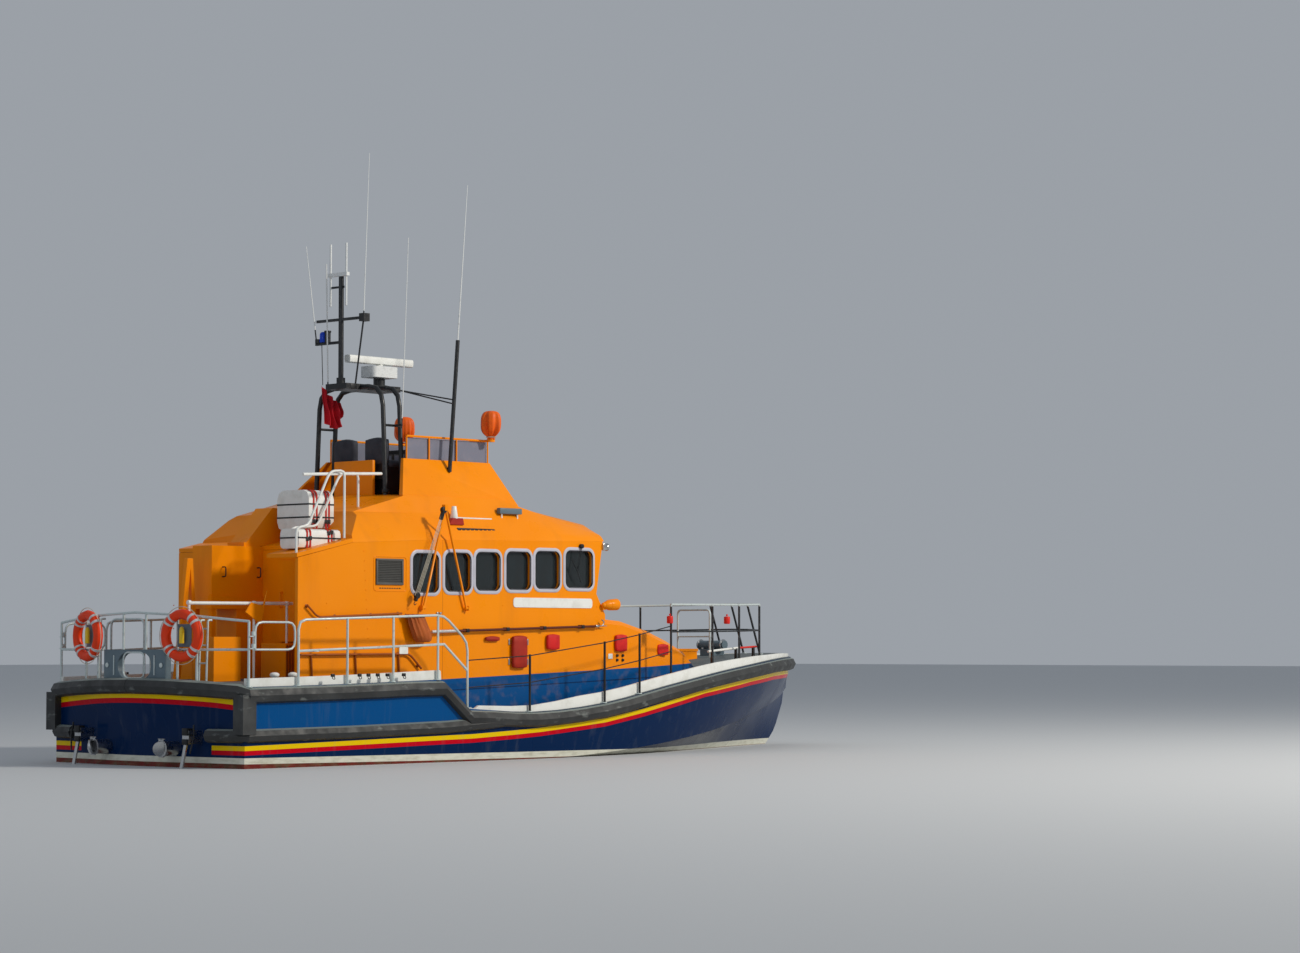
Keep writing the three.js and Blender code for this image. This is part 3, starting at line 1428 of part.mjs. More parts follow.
const rudder = join(
  prism(
    "z",
    [
      [RUDDER_X + 190, -SHAFT_Y],
      [RUDDER_X + 120, -SHAFT_Y + 26],
      [RUDDER_X - 60, -SHAFT_Y + 24],
      [RUDDER_X - 290, -SHAFT_Y],
      [RUDDER_X - 60, -SHAFT_Y - 24],
      [RUDDER_X + 120, -SHAFT_Y - 26],
    ],
    [-1190, -520],
  ),
  rod([RUDDER_X, -SHAFT_Y, -700], [RUDDER_X, -SHAFT_Y, BOSS_FOOT - RUNNING_GAP], 30, 10),
);
addPiece("rudder_starboard", underHull(rudder), STEEL);
addPiece("rudder_port", underHull(mirrorY(rudder)), STEEL);

export default root;
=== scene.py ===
# %% [markdown]
# # A rescue lifeboat afloat
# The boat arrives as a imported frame: solid pieces at their real size, in metres, with +X towards
# the bow, +Y to port, +Z up and the waterline at Z = 0. This notebook gives those pieces their
# finishes and adds the fittings that are too small for the frame.

# %% Load the frame
import json
import math
import random

import bmesh
import bpy
from mathutils import Matrix, Vector


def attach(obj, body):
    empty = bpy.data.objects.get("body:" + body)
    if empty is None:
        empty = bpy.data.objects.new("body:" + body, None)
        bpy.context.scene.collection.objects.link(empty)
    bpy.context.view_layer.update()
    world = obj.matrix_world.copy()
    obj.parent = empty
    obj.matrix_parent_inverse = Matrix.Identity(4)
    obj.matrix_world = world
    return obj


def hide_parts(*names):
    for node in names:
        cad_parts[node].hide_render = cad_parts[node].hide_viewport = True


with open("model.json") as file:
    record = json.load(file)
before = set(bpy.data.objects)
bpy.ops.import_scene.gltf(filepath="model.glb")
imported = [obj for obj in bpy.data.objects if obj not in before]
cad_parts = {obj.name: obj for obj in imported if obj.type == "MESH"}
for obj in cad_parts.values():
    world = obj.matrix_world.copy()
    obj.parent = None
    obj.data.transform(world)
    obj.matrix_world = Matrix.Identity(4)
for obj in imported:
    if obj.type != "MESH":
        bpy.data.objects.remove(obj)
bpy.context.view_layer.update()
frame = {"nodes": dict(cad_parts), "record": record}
nodes = frame["nodes"]

# %% [markdown]
# ## Camera
# The boat was seen from its starboard quarter, from a low viewpoint a long way off, so the lens is
# long and the lines hardly converge. The camera looks slightly upwards, and the boat stands in the
# left half of the frame. Fixing it first means that every later piece is judged in the right view.

# %% Camera
CAMERA_PLACE = (-36.04, -35.85, 1.69)
CAMERA_AXIS = Vector((0.74077, 0.66968, 0.0528))
CAMERA_LENS_MM = 88.77
CAMERA_REACH = 500.0
SENSOR_MM = 36.0


def into_scene(name, data, place=(0, 0, 0), look=None):
    """A new object in the scene, turned to look along a direction if there is one."""
    made = bpy.data.objects.new(name, data)
    made.location = place
    if look is not None:
        made.rotation_euler = look.to_track_quat("-Z", "Y").to_euler()
    bpy.context.scene.collection.objects.link(made)
    return made


camera_data = bpy.data.cameras.new("camera")
camera_data.lens = CAMERA_LENS_MM
camera_data.sensor_width = SENSOR_MM
camera_data.clip_end = CAMERA_REACH
camera = into_scene("camera", camera_data, CAMERA_PLACE, CAMERA_AXIS)
bpy.context.scene.camera = camera
print("camera at", [round(v, 2) for v in camera.location])

# %% [markdown]
# ## Stage and light
# A pale plain floor lies at the waterline, so the boat sits in it as it sits in the water. One
# warm, fairly small key light stands off the starboard bow, so the long side is bright and the
# stern is in shade. A large soft fill and an even sky keep the shaded sides readable.

# %% Floor and lights
FLOOR_SIZE = 400.0
FLOOR_COLOUR = (0.56, 0.58, 0.6, 1)
FLOOR_ROUGHNESS = 0.85
# Columns: name, place, what it aims at, size, power, colour
LIGHTS = [
    ("key", (12, -34, 24), (0, 0, 2), 4.5, 12000, (1.0, 0.94, 0.84)),
    ("fill", (-34, -4, 12), (-2, 0, 2), 16.0, 450, (0.9, 0.95, 1.0)),
]
SKY_COLOUR = (0.78, 0.84, 0.92, 1)
SKY_STRENGTH = 0.42


def mesh_from(name, bm):
    """Turns the open mesh into mesh data and closes it."""
    data = bpy.data.meshes.new(name)
    bm.to_mesh(data)
    bm.free()
    return data


floor_grid = bmesh.new()
bmesh.ops.create_grid(floor_grid, x_segments=1, y_segments=1, size=FLOOR_SIZE / 2)
floor = into_scene("floor", mesh_from("floor", floor_grid))
floor_paint = bpy.data.materials.new("floor_pale")
floor_paint.use_nodes = True
floor_inputs = floor_paint.node_tree.nodes["Principled BSDF"].inputs
floor_inputs["Base Color"].default_value = FLOOR_COLOUR
floor_inputs["Roughness"].default_value = FLOOR_ROUGHNESS
floor.data.materials.append(floor_paint)
for name, place, target, size, power, colour in LIGHTS:
    lamp = bpy.data.lights.new(name, "AREA")
    lamp.shape = "DISK"
    lamp.size = size
    lamp.energy = power
    lamp.color = colour
    into_scene(name, lamp, place, Vector(target) - Vector(place))
world = bpy.data.worlds.new("studio")
world.use_nodes = True
sky = world.node_tree.nodes["Background"].inputs
sky["Color"].default_value = SKY_COLOUR
sky["Strength"].default_value = SKY_STRENGTH
bpy.context.scene.world = world
bpy.context.scene.view_settings.view_transform = "Standard"
print("stage ready")

# %% [markdown]
# ## A small kit for node materials
# Every finish below is built from the same few steps: a colour, fine noise that stains it,
# uneven gloss, and a bump. Writing those steps once keeps each finish short and readable.

# %% Material helpers


class Paint:
    """A Principled material and short calls that add nodes to it."""

    def __init__(self, name, colour, roughness, metallic=0.0, mirror=None):
        self.material = bpy.data.materials.new(name)
        self.material.use_nodes = True
        self.tree = self.material.node_tree
        self.shader = self.tree.nodes["Principled BSDF"]
        self.colour, self.plain = None, (*colour, 1)
        self.set("Base Color", self.plain)
        self.set("Roughness", roughness)
        self.set("Metallic", metallic)
        if mirror is not None:
            self.set("Specular IOR Level", mirror)
        self.coordinates = self.node("ShaderNodeTexCoord").outputs["Object"]

    def set(self, socket, value):
        self.shader.inputs[socket].default_value = value

    def node(self, kind, **settings):
        made = self.tree.nodes.new(kind)
        for key, value in settings.items():
            setattr(made, key, value)
        return made

    def link(self, output, socket):
        self.tree.links.new(output, socket)

    def noise(self, scale, detail=3.0, stretch=(1, 1, 1)):
        mapping = self.node("ShaderNodeMapping")
        mapping.inputs["Scale"].default_value = stretch
        self.link(self.coordinates, mapping.inputs["Vector"])
        noise = self.node("ShaderNodeTexNoise")
        noise.inputs["Scale"].default_value = scale
        noise.inputs["Detail"].default_value = detail
        self.link(mapping.outputs["Vector"], noise.inputs["Vector"])
        return noise.outputs["Fac"]

    def axis(self, letter, vector=None):
        split = self.node("ShaderNodeSeparateXYZ")
        self.link(self.coordinates if vector is None else vector, split.inputs["Vector"])
        return split.outputs[letter]

    def facing_up(self):
        """1 where a face looks straight up and 0 on a wall."""
        return self.axis("Z", self.node("ShaderNodeTexCoord").outputs["Normal"])

    def remap(self, value, low, high, to_low=0.0, to_high=1.0):
        ramp = self.node("ShaderNodeMapRange")
        for key, number in zip((1, 2, 3, 4), (low, high, to_low, to_high)):
            ramp.inputs[key].default_value = number
        self.link(value, ramp.inputs[0])
        return ramp.outputs[0]

    def math(self, operation, first, second=0):
        made = self.node("ShaderNodeMath", operation=operation)
        for socket, value in zip(made.inputs, (first, second)):
            if isinstance(value, (int, float)):
                socket.default_value = value
            else:
                self.link(value, socket)
        return made.outputs[0]

    def times(self, first, second):
        return self.math("MULTIPLY", first, second)

    def minus(self, first, second):
        return self.math("SUBTRACT", first, second)

    def above(self, value, at, blend=0.004):
        """0 below a value and 1 above it, with a short blend."""
        return self.remap(value, at - blend / 2, at + blend / 2)

    def below(self, value, at):
        return self.minus(1, self.above(value, at))

    def between(self, value, low, high):
        return self.minus(self.above(value, low), self.above(value, high))

    def mix(self, mask, colour):
        """Lays a colour over what is there where the mask is 1."""
        mixed = self.node("ShaderNodeMix", data_type="RGBA")
        self.link(mask, mixed.inputs[0])
        if self.colour is None:
            mixed.inputs[6].default_value = self.plain
        else:
            self.link(self.colour, mixed.inputs[6])
        mixed.inputs[7].default_value = (*colour, 1)
        self.colour = mixed.outputs[2]
        self.link(self.colour, self.shader.inputs["Base Color"])

    def spots(self, noise, low, high, most):
        """A mask of noise that is 0 under low and rises to most at high."""
        return self.remap(self.noise(*noise), low, high, 0, most)

    def stain(self, noise, low, high, most, colour):
        self.mix(self.spots(noise, low, high, most), colour)

    def grain(self, scale, strength, distance):
        bump = self.node("ShaderNodeBump")
        bump.inputs["Strength"].default_value = strength
        bump.inputs["Distance"].default_value = distance
        self.link(self.noise(scale, 4.0), bump.inputs["Height"])
        self.link(bump.outputs["Normal"], self.shader.inputs["Normal"])

    def uneven_gloss(self, scale, low, high):
        gloss = self.remap(self.noise(scale), 0.35, 0.65, low, high)
        self.link(gloss, self.shader.inputs["Roughness"])

    def worn(self, gloss, grain):
        """The last steps of nearly every finish."""
        self.uneven_gloss(*gloss)
        self.grain(*grain)
        return self.material

# %% [markdown]
# ## Finishes of the main surfaces
# The real boat is moulded plastic: glossy orange gelcoat above, dark blue paint on the hull, and
# grey rubber fenders. The bands on the hull follow its sheer, so they can't be straight lines in
# height. A curve node reads how far along the boat a point is and gives the band's height there.

# %% Hull paint
ORANGE = (0.95, 0.285, 0.0)
NAVY = (0.0, 0.017, 0.075)
ROYAL = (0.0, 0.072, 0.25)
CREAM = (0.7, 0.7, 0.6)
SIGNAL_RED = (0.56, 0.0, 0.012)
SIGNAL_YELLOW = (0.86, 0.58, 0.0)
ANTIFOULING = (0.17, 0.022, 0.018)
DECK_GREY = (0.12, 0.14, 0.15)
WEED = (0.05, 0.06, 0.03)
SCUM = (0.25, 0.22, 0.12)
SALT = (0.16, 0.18, 0.2)
TRODDEN = (0.2, 0.22, 0.23)
DULL = 0.16  # how much the weathered coats mirror the sky
BOAT_SPAN = (-7.4, 7.4)
HEIGHT_SPAN = (-0.5, 1.7)
# Columns of the three lines: distance along the boat, height
BAND_LINE = [
    (-7.0, 0.246), (-3.83, 0.312), (-2.76, 0.333), (-1.9, 0.372), (-1.34, 0.403), (-0.46, 0.474),
    (0.08, 0.519), (1.0, 0.656), (1.58, 0.755), (2.65, 0.934), (3.38, 1.011), (4.3, 1.106),
    (5.5, 1.187), (6.3, 1.207), (6.8, 1.207), (7.04, 1.2),
]
BOOT_TOP = [(-7.1, 0.148), (-1.0, 0.108), (2.0, 0.082), (4.1, 0.098), (7.1, 0.1)]
BOOT_FOOT = [(-7.1, 0.066), (-3.8, 0.034), (0, 0.012), (7.1, 0.005)]
# Columns of the bands: lower edge, upper edge, colour
SIDE_BANDS = [(0, 0.066, SIGNAL_YELLOW), (-0.062, 0, SIGNAL_RED)]
TRANSOM_BANDS = [(0.958, 1.3, SIGNAL_YELLOW), (0.888, 0.958, SIGNAL_RED)]
TRANSOM = -6.998
TRANSOM_BANDS_HALF = 1.45
TRANSOM_ARCH = 0.0233  # how fast the transom's bands fall towards its corners
PANEL_FRONT = -2.3  # the raised stern is royal blue aft of here
PANEL_FOOT = 0.5
HULL_GLOSS = (0.16, 0.3)
DECK_ROUGHNESS = 0.8


def line_along(paint, value, rows):
    """A height that follows a table of (distance along the boat, height)."""
    curve = paint.node("ShaderNodeFloatCurve")
    points = curve.mapping.curves[0].points
    low, high = HEIGHT_SPAN

    def place(x, z):
        across = (x - BOAT_SPAN[0]) / (BOAT_SPAN[1] - BOAT_SPAN[0])
        return across, (z - low) / (high - low)

    points[0].location = (0, place(*rows[0])[1])
    points[-1].location = (1, place(*rows[-1])[1])
    for x, z in rows:
        points.new(*place(x, z))
    for point in points:
        point.handle_type = "VECTOR"
    curve.mapping.update()
    paint.link(paint.remap(value, *BOAT_SPAN), curve.inputs["Value"])
    return paint.remap(curve.outputs[0], 0, 1, low, high)


def hull_paint():
    paint = Paint("hull_paint", NAVY, 0.22, mirror=DULL / 2)
    x, y, z = (paint.axis(letter) for letter in "XYZ")
    on_transom, on_side = paint.below(x, TRANSOM), paint.above(x, TRANSOM)
    raised_stern = paint.times(paint.below(x, PANEL_FRONT), on_side)
    paint.mix(paint.times(paint.above(z, PANEL_FOOT), raised_stern), ROYAL)
    corner = paint.above(paint.math("ABSOLUTE", y), TRANSOM_BANDS_HALF)
    near_corner = paint.math("MAXIMUM", on_side, corner)
    arched = paint.math("ADD", z, paint.times(paint.times(y, y), TRANSOM_ARCH))
    for bands, height, where in (
        (SIDE_BANDS, paint.minus(z, line_along(paint, x, BAND_LINE)), near_corner),
        (TRANSOM_BANDS, arched, on_transom),
    ):
        for low, high, colour in bands:
            paint.mix(paint.times(paint.between(height, low, high), where), colour)
    below_top, below_foot = (
        paint.below(paint.minus(z, line_along(paint, x, rows)), 0) for rows in (BOOT_TOP, BOOT_FOOT)
    )
    paint.mix(below_top, CREAM)
    paint.mix(below_foot, ANTIFOULING)
    paint.mix(paint.times(below_foot, paint.spots((7, 8), 0.45, 0.7, 0.7)), WEED)
    paint.mix(paint.times(below_top, paint.spots((5, 8, (1, 1, 4)), 0.45, 0.75, 0.4)), SCUM)
    paint.stain((9, 6, (1, 1, 0.12)), 0.55, 0.9, 0.22, SALT)
    deck = paint.times(paint.above(paint.facing_up(), 0.75, 0.1), paint.above(z, PANEL_FOOT))
    paint.mix(deck, DECK_GREY)
    paint.mix(paint.times(deck, paint.spots((90, 2), 0.4, 0.6, 0.5)), TRODDEN)
    gloss = paint.remap(paint.noise(1.4), 0.35, 0.65, *HULL_GLOSS)
    roughness = paint.math("MAXIMUM", gloss, paint.times(deck, DECK_ROUGHNESS))
    paint.link(roughness, paint.shader.inputs["Roughness"])
    paint.grain(120, 0.12, 0.0012)
    return paint.material


# %% Orange gelcoat, with the blue foot and the moulding seam of the house
HOUSE_SEAM_X = -2.845
BLUE_HIGH, BLUE_RISE = 1.298, 0.0352  # height amidships, and the rise for each metre forward
LEDGE_SHADOW_DROP = 0.17  # how far the painted shadow line under a ledge lies below the blue line
SUN_FADED, RUST, CHALKED = (0.86, 0.22, 0.0), (0.46, 0.13, 0.015), (0.95, 0.36, 0.05)
SEAM_DARK = (0.3, 0.07, 0.005)
SPLASHED = (0.32, 0.2, 0.1)


def orange_paint(name, house=False):
    paint = Paint(name, ORANGE, 0.3, mirror=DULL)
    paint.stain((0.55, 4), 0.35, 0.75, 0.4, SUN_FADED)
    paint.stain((2.6, 7, (1, 1, 0.18)), 0.56, 0.85, 0.3, RUST)
    paint.stain((40, 3), 0.62, 0.8, 0.2, CHALKED)
    if house:
        x, z = paint.axis("X"), paint.axis("Z")
        off_seam = paint.math("ABSOLUTE", paint.minus(x, HOUSE_SEAM_X))
        paint.mix(paint.remap(off_seam, 0.002, 0.006, 0.75, 0), SEAM_DARK)
        over = paint.minus(z, paint.math("ADD", paint.times(x, BLUE_RISE), BLUE_HIGH))
        paint.mix(paint.below(over, 0), ROYAL)
        # painted shade: a thin navy line where the shadow under a ledge falls
        off_ledge_shadow = paint.math("ABSOLUTE", paint.math("ADD", over, LEDGE_SHADOW_DROP))
        paint.mix(paint.remap(off_ledge_shadow, 0.006, 0.012, 0.85, 0), NAVY)
        low_down = paint.remap(over, -0.3, 0.25, 1, 0)
        paint.mix(paint.times(low_down, paint.spots((6, 8), 0.5, 0.8, 0.35)), SPLASHED)
    return paint.worn((2.0, 0.26, 0.45), (14, 0.05, 0.002))


# %% Rubber, metal, glass and cloth
BLACK = (0.012, 0.013, 0.015)
WHIP_WHITE = (0.72, 0.74, 0.74)
TUBE_GRAIN = (80, 0.08, 0.001)
# The pulpit's grey-white top rail is a painted highlight, and the line it starts from climbs
# forward.
HIGHLIGHT_RAIL_FOOT, HIGHLIGHT_RAIL_RISE = 2.29, 0.0125  # the pulpit's pale top rail climbs forward


def simple(name, colour, roughness, dirt, amount, metallic=0.0, bump=0.08, scale=60):
    paint = Paint(name, colour, roughness, metallic, None if metallic else 2 * DULL)
    paint.stain((5.0, 6), 0.48, 0.8, amount, dirt)
    gloss = (9.0, max(0.05, roughness - 0.1), min(1, roughness + 0.12))
    return paint.worn(gloss, (scale, bump, 0.001))


def cloth(name, colour, dark, weave=420, roughness=0.85):
    paint = Paint(name, colour, roughness, mirror=2 * DULL)
    paint.set("Sheen Weight", 0.05)
    paint.stain((8, 6), 0.4, 0.75, 0.6, dark)
    wave = paint.node("ShaderNodeTexWave", bands_direction="DIAGONAL")
    wave.inputs["Scale"].default_value = weave / 6
    paint.link(paint.coordinates, wave.inputs["Vector"])
    paint.mix(paint.remap(wave.outputs["Fac"], 0.2, 0.8, 0, 0.25), dark)
    paint.grain(weave, 0.3, 0.001)
    return paint.material


def fender_paint():
    paint = Paint("fender_rubber", (0.028, 0.03, 0.031), 0.62)
    # painted reflection: the fender's upward faces are pale grey-green where the sky shows in them
    paint.mix(paint.above(paint.facing_up(), 0.8, 0.3), (0.21, 0.25, 0.24))
    paint.stain((1.6, 8), 0.5, 0.75, 0.35, (0.1, 0.105, 0.105))
    paint.stain((11, 8, (0.4, 0.4, 1)), 0.62, 0.72, 0.6, (0.2, 0.22, 0.21))
    return paint.worn((6, 0.5, 0.75), (45, 0.2, 0.002))


def rail_paint():
    paint = Paint("rail_paint", (0.55, 0.63, 0.63), 0.32, 0.15)
    paint.stain((14, 7), 0.58, 0.72, 0.5, (0.28, 0.3, 0.29))
    paint.stain((3, 5), 0.55, 0.7, 0.3, (0.74, 0.78, 0.76))
    return paint.worn((12, 0.25, 0.45), TUBE_GRAIN)


def pulpit_shade_and_highlight_paint():
    """Black posts as painted shade, under a grey-white top rail as a painted highlight."""
    # painted shade: the posts are black for the shade they stand in
    paint = Paint("pulpit_shade_and_highlight_paint", (0.016, 0.018, 0.02), 0.4)
    rail = paint.minus(paint.axis("Z"), paint.times(paint.axis("X"), HIGHLIGHT_RAIL_RISE))
    # painted highlight: grey-white along the top rail, above a line that climbs forward
    paint.mix(paint.above(rail, HIGHLIGHT_RAIL_FOOT, 0.01), (0.5, 0.56, 0.56))
    paint.stain((14, 7), 0.55, 0.72, 0.4, (0.2, 0.21, 0.21))
    return paint.worn((12, 0.3, 0.5), TUBE_GRAIN)


def glass_paint():
    paint = Paint("tinted_glass", (0.1, 0.13, 0.14), 0.03)
    paint.set("Transmission Weight", 0.85)
    paint.set("IOR", 1.45)
    paint.stain((3, 5), 0.5, 0.8, 0.3, (0.06, 0.07, 0.075))
    paint.uneven_gloss(5, 0.02, 0.09)
    return paint.material


def tipped_paint(name, boxes):
    """Black, but white inside each box of lowest and highest coordinates."""
    paint = Paint(name, BLACK, 0.42)
    readings = [paint.axis(letter) for letter in "XYZ"]
    for low, high in boxes:
        x, y, z = (paint.between(*row) for row in zip(readings, low, high))
        paint.mix(paint.times(paint.times(x, y), z), WHIP_WHITE)
    paint.stain((14, 7), 0.58, 0.75, 0.3, (0.12, 0.12, 0.12))
    return paint.worn((12, 0.3, 0.5), TUBE_GRAIN)


# Columns of simple: name, colour, roughness, dirt, how much of it
white_coat = simple("white_gelcoat", (0.82, 0.83, 0.8), 0.32, (0.4, 0.38, 0.3), 0.35)
black_coat = simple("black_paint", BLACK, 0.42, (0.05, 0.05, 0.05), 0.5)
screen_coat = simple("hazed_screen", (0.2, 0.21, 0.27), 0.12, (0.3, 0.28, 0.33), 0.5, bump=0.02)
steel_coat = simple("stainless_steel", (0.5, 0.51, 0.52), 0.28, (0.2, 0.19, 0.17), 0.3, 1.0)
panel_coat = simple("panel_grey", (0.115, 0.165, 0.2), 0.42, (0.2, 0.24, 0.26), 0.4)
gasket_grey = simple("window_gasket", (0.52, 0.52, 0.6), 0.45, (0.3, 0.3, 0.34), 0.3)
black_rubber = simple("black_rubber", (0.02, 0.02, 0.022), 0.6, (0.06, 0.06, 0.06), 0.4)
silver_tape = simple("silver_tape", (0.62, 0.63, 0.64), 0.3, (0.4, 0.4, 0.4), 0.3, 0.3, 0.15, 300)
boathook_brown = simple("boathook_shaft", (0.11, 0.016, 0.006), 0.4, (0.04, 0.01, 0.004), 0.5)
grille_grey = simple("grille_grey", (0.09, 0.09, 0.085), 0.5, (0.16, 0.16, 0.15), 0.4)
lamp_blue = simple("blue_lamp", (0.0, 0.05, 0.55), 0.12, (0.02, 0.05, 0.2), 0.2, bump=0.0)
float_red = simple("red_float", (0.7, 0.02, 0.01), 0.4, (0.4, 0.02, 0.01), 0.3)
# painted shade: the grab rails and step slats take the dark orange-brown of shade on the wall
shaded_grab_coat = simple("grab_rail_painted_shade", (0.36, 0.085, 0.006), 0.38, (0.2, 0.05, 0.01), 0.4)
yellow_coat = simple("yellow_lamp", (0.8, 0.55, 0.02), 0.3, (0.5, 0.35, 0.05), 0.3)
# Columns of cloth: name, colour, darker colour in its folds, weave, roughness
flag_cloth = cloth("flag_bunting", (0.52, 0.008, 0.02), (0.3, 0.0, 0.01))
canvas_cloth = cloth("orange_canvas", (0.9, 0.135, 0.0), (0.52, 0.06, 0.001), 420, 0.5)
bag_cloth = cloth("rope_bag_cloth", (0.5, 0.115, 0.015), (0.24, 0.05, 0.008), 420, 0.7)
cover_red = cloth("cover_red", (0.72, 0.01, 0.008), (0.36, 0.004, 0.006), 300, 0.6)
cover_dark = cloth("cover_dark_red", (0.42, 0.018, 0.003), (0.24, 0.006, 0.002), 300, 0.6)
rope_pale = cloth("pale_rope", (0.66, 0.62, 0.5), (0.3, 0.27, 0.2), 500)
webbing_red = cloth("red_webbing", (0.52, 0.03, 0.02), (0.3, 0.01, 0.01), 700)
seat_dark = cloth("seat_fabric", (0.05, 0.055, 0.07), (0.02, 0.02, 0.03), 500)
orange_coat, rail_coat = orange_paint("orange_gelcoat"), rail_paint()
print("finishes:", len(bpy.data.materials))

# %% [markdown]
# ## Dressing the frame's own pieces
# Most frame pieces already have their true shape, so each one only gets its finish. Their edges are
# knife sharp, which no moulding is, and a narrow live bevel catches the light as the real edges do.
# Tubes have few sides, so their angle limit is higher and they shade as round.

# %% Dress the frame pieces
SIDES = (("starboard", -1), ("port", 1))
FAR = 20
# Each box: lowest corner, highest corner
MAST_WHITES = [
    ((-4, -0.14, 6.83), (-3, -0.08, FAR)), ((-4, 0.21, 6.83), (-3, 0.27, FAR)),
    ((-4, -1, 6.72), (-3, -0.46, FAR)), ((-4, 0.53, 6.5), (-3, 1, FAR)),
    ((-4, -0.16, 7.275), (-3, 0.29, FAR)),
]
GANTRY_WHITES = [
    ((-2.86, -0.2, 5.775), (-2.27, 0.2, 6.1)), ((-3.1, -1, 5.1), (-2.7, -0.93, FAR)),
    ((-3.5, 0.15, 5.68), (-3.4, 0.26, FAR)),
]
house_coat = orange_paint("house_gelcoat", house=True)
finish_of_slot = {
    "hull_blue": hull_paint(), "orange_grp": orange_coat, "fender_rubber": fender_paint(),
    "white_grp": white_coat, "rail_grey": rail_coat, "black_paint": black_coat,
    "window_glass": glass_paint(), "screen_glass": screen_coat, "steel": steel_coat,
    "panel_grey": panel_coat, "flag_red": flag_cloth, "canvas": canvas_cloth,
    "buoy_orange": simple("lifebuoy_shell", (0.84, 0.045, 0.0), 0.42, (0.5, 0.04, 0.01), 0.4),
    "bronze": simple("propeller_bronze", (0.45, 0.27, 0.1), 0.28, (0.14, 0.13, 0.07), 0.5, 1.0),
}
finish_of_node = {
    "deckhouse": house_coat, "coachroof": house_coat, "pulpit": pulpit_shade_and_highlight_paint(),
    "mast": tipped_paint("mast_paint", MAST_WHITES),
    "gantry": tipped_paint("gantry_paint", GANTRY_WHITES),
    "tall_aerial": tipped_paint("aerial_paint", [((-3, -2, 6.35), (0, 0, FAR))]),
}
TUBULAR = {
    "stern_rail", "pulpit", "roof_handrail_outer", "roof_handrail_inner", "mast", "tall_aerial",
    "gantry", "windscreen_frame", "derrick",
}
for name in ("side_rail", "rail_gate", "guard_rail", "lifebuoy", "searchlight", "shaft"):
    TUBULAR |= {f"{name}_{side}" for side, _ in SIDES}
TUBE_ANGLE, MOULDING_ANGLE = math.radians(68), math.radians(32)
WELD = 0.0004
EDGE = 0.004
for row in frame["record"]["subparts"]:
    name = row["node"]
    cad = nodes[name]
    cad.data.materials.clear()
    cad.data.materials.append(finish_of_node.get(name, finish_of_slot[row["material_slot"]]))
    if "custom_normal" in cad.data.attributes:
        cad.data.attributes.remove(cad.data.attributes["custom_normal"])
    cad.data.polygons.foreach_set("use_smooth", [True] * len(cad.data.polygons))
    cad.modifiers.new("weld", "WELD").merge_threshold = WELD
    edge = cad.modifiers.new("edge", "BEVEL")
    edge.width = EDGE
    edge.segments = 2
    edge.limit_method = "ANGLE"
    edge.angle_limit = TUBE_ANGLE if name in TUBULAR else MOULDING_ANGLE
    edge.harden_normals = True

# %% [markdown]
# ## Helpers for new pieces
# Every fitting is made from a few kinds of shape: bars along a path, blocks, drums, plates and
# domes. Each helper wraps the bmesh operators for one kind and adds to a mesh that is already
# open, so like fittings can share one piece.

# %% Shape helpers


def edges_of(verts):
    return list({edge for vert in verts for edge in vert.link_edges})


def verts_in(geometry):
    return [item for item in geometry if isinstance(item, bmesh.types.BMVert)]


def soften(bm, edges, width, segments=2):
    bmesh.ops.bevel(
        bm, geom=edges, offset=width, segments=segments, profile=0.5, affect="EDGES", material=-1
    )


def skin_over(bm, rings, closed=False):
    """Joins rings of edges into a tube, and closes it on itself or at both ends."""
    skin = []
    for first, second in list(zip(rings, rings[1:])) + ([(rings[-1], rings[0])] if closed else []):
        skin += bmesh.ops.bridge_loops(bm, edges=first + second)["faces"]
    if not closed:
        for ring in (rings[0], rings[-1]):
            skin += bmesh.ops.edgeloop_fill(bm, edges=ring)["faces"]
    bmesh.ops.recalc_face_normals(bm, faces=skin)


def bar(bm, path, width, height=None, sides=10, normal=None, closed=False):
    """A bar along a path: round, or square with four sides, or flat with a height of its own."""
    height = width if height is None else height
    line = [Vector(p) for p in path]
    turn = Matrix.Rotation(math.pi / 4, 4, "Z") if sides == 4 else Matrix()
    reach = math.sqrt(0.5) if sides == 4 else 0.5
    rings, side, before = [], None, None
    for i, point in enumerate(line):
        tangent = Vector()
        if closed or i + 1 < len(line):
            tangent += (line[(i + 1) % len(line)] - point).normalized()
        if closed or i > 0:
            tangent += (point - line[i - 1]).normalized()
        tangent.normalize()
        if normal is not None:
            side = Vector(normal).cross(tangent).normalized()
        elif side is None:
            helper = Vector((0, 0, 1)) if abs(tangent.z) < 0.9 else Vector((1, 0, 0))
            side = helper.cross(tangent).normalized()
        else:
            side = before.rotation_difference(tangent) @ side
        before = tangent
        up = tangent.cross(side)
        rows = ((*(side * width), 0), (*(up * height), 0), (*tangent, 0), (*point, 1))
        matrix = Matrix(rows).transposed() @ turn
        ring = bmesh.ops.create_circle(bm, segments=sides, radius=reach, matrix=matrix)
        rings.append(edges_of(ring["verts"]))
    skin_over(bm, rings, closed)


def block(bm, low, high, edge=0.004, turn=None):
    """A box between two corners with softened edges, turned about its middle if asked."""
    low, high = Vector(low), Vector(high)
    sized = (turn or Matrix()) @ Matrix.Diagonal((*(high - low), 1))
    made = bmesh.ops.create_cube(bm, size=1, matrix=Matrix.Translation((low + high) / 2) @ sized)
    if edge:
        soften(bm, edges_of(made["verts"]), edge)


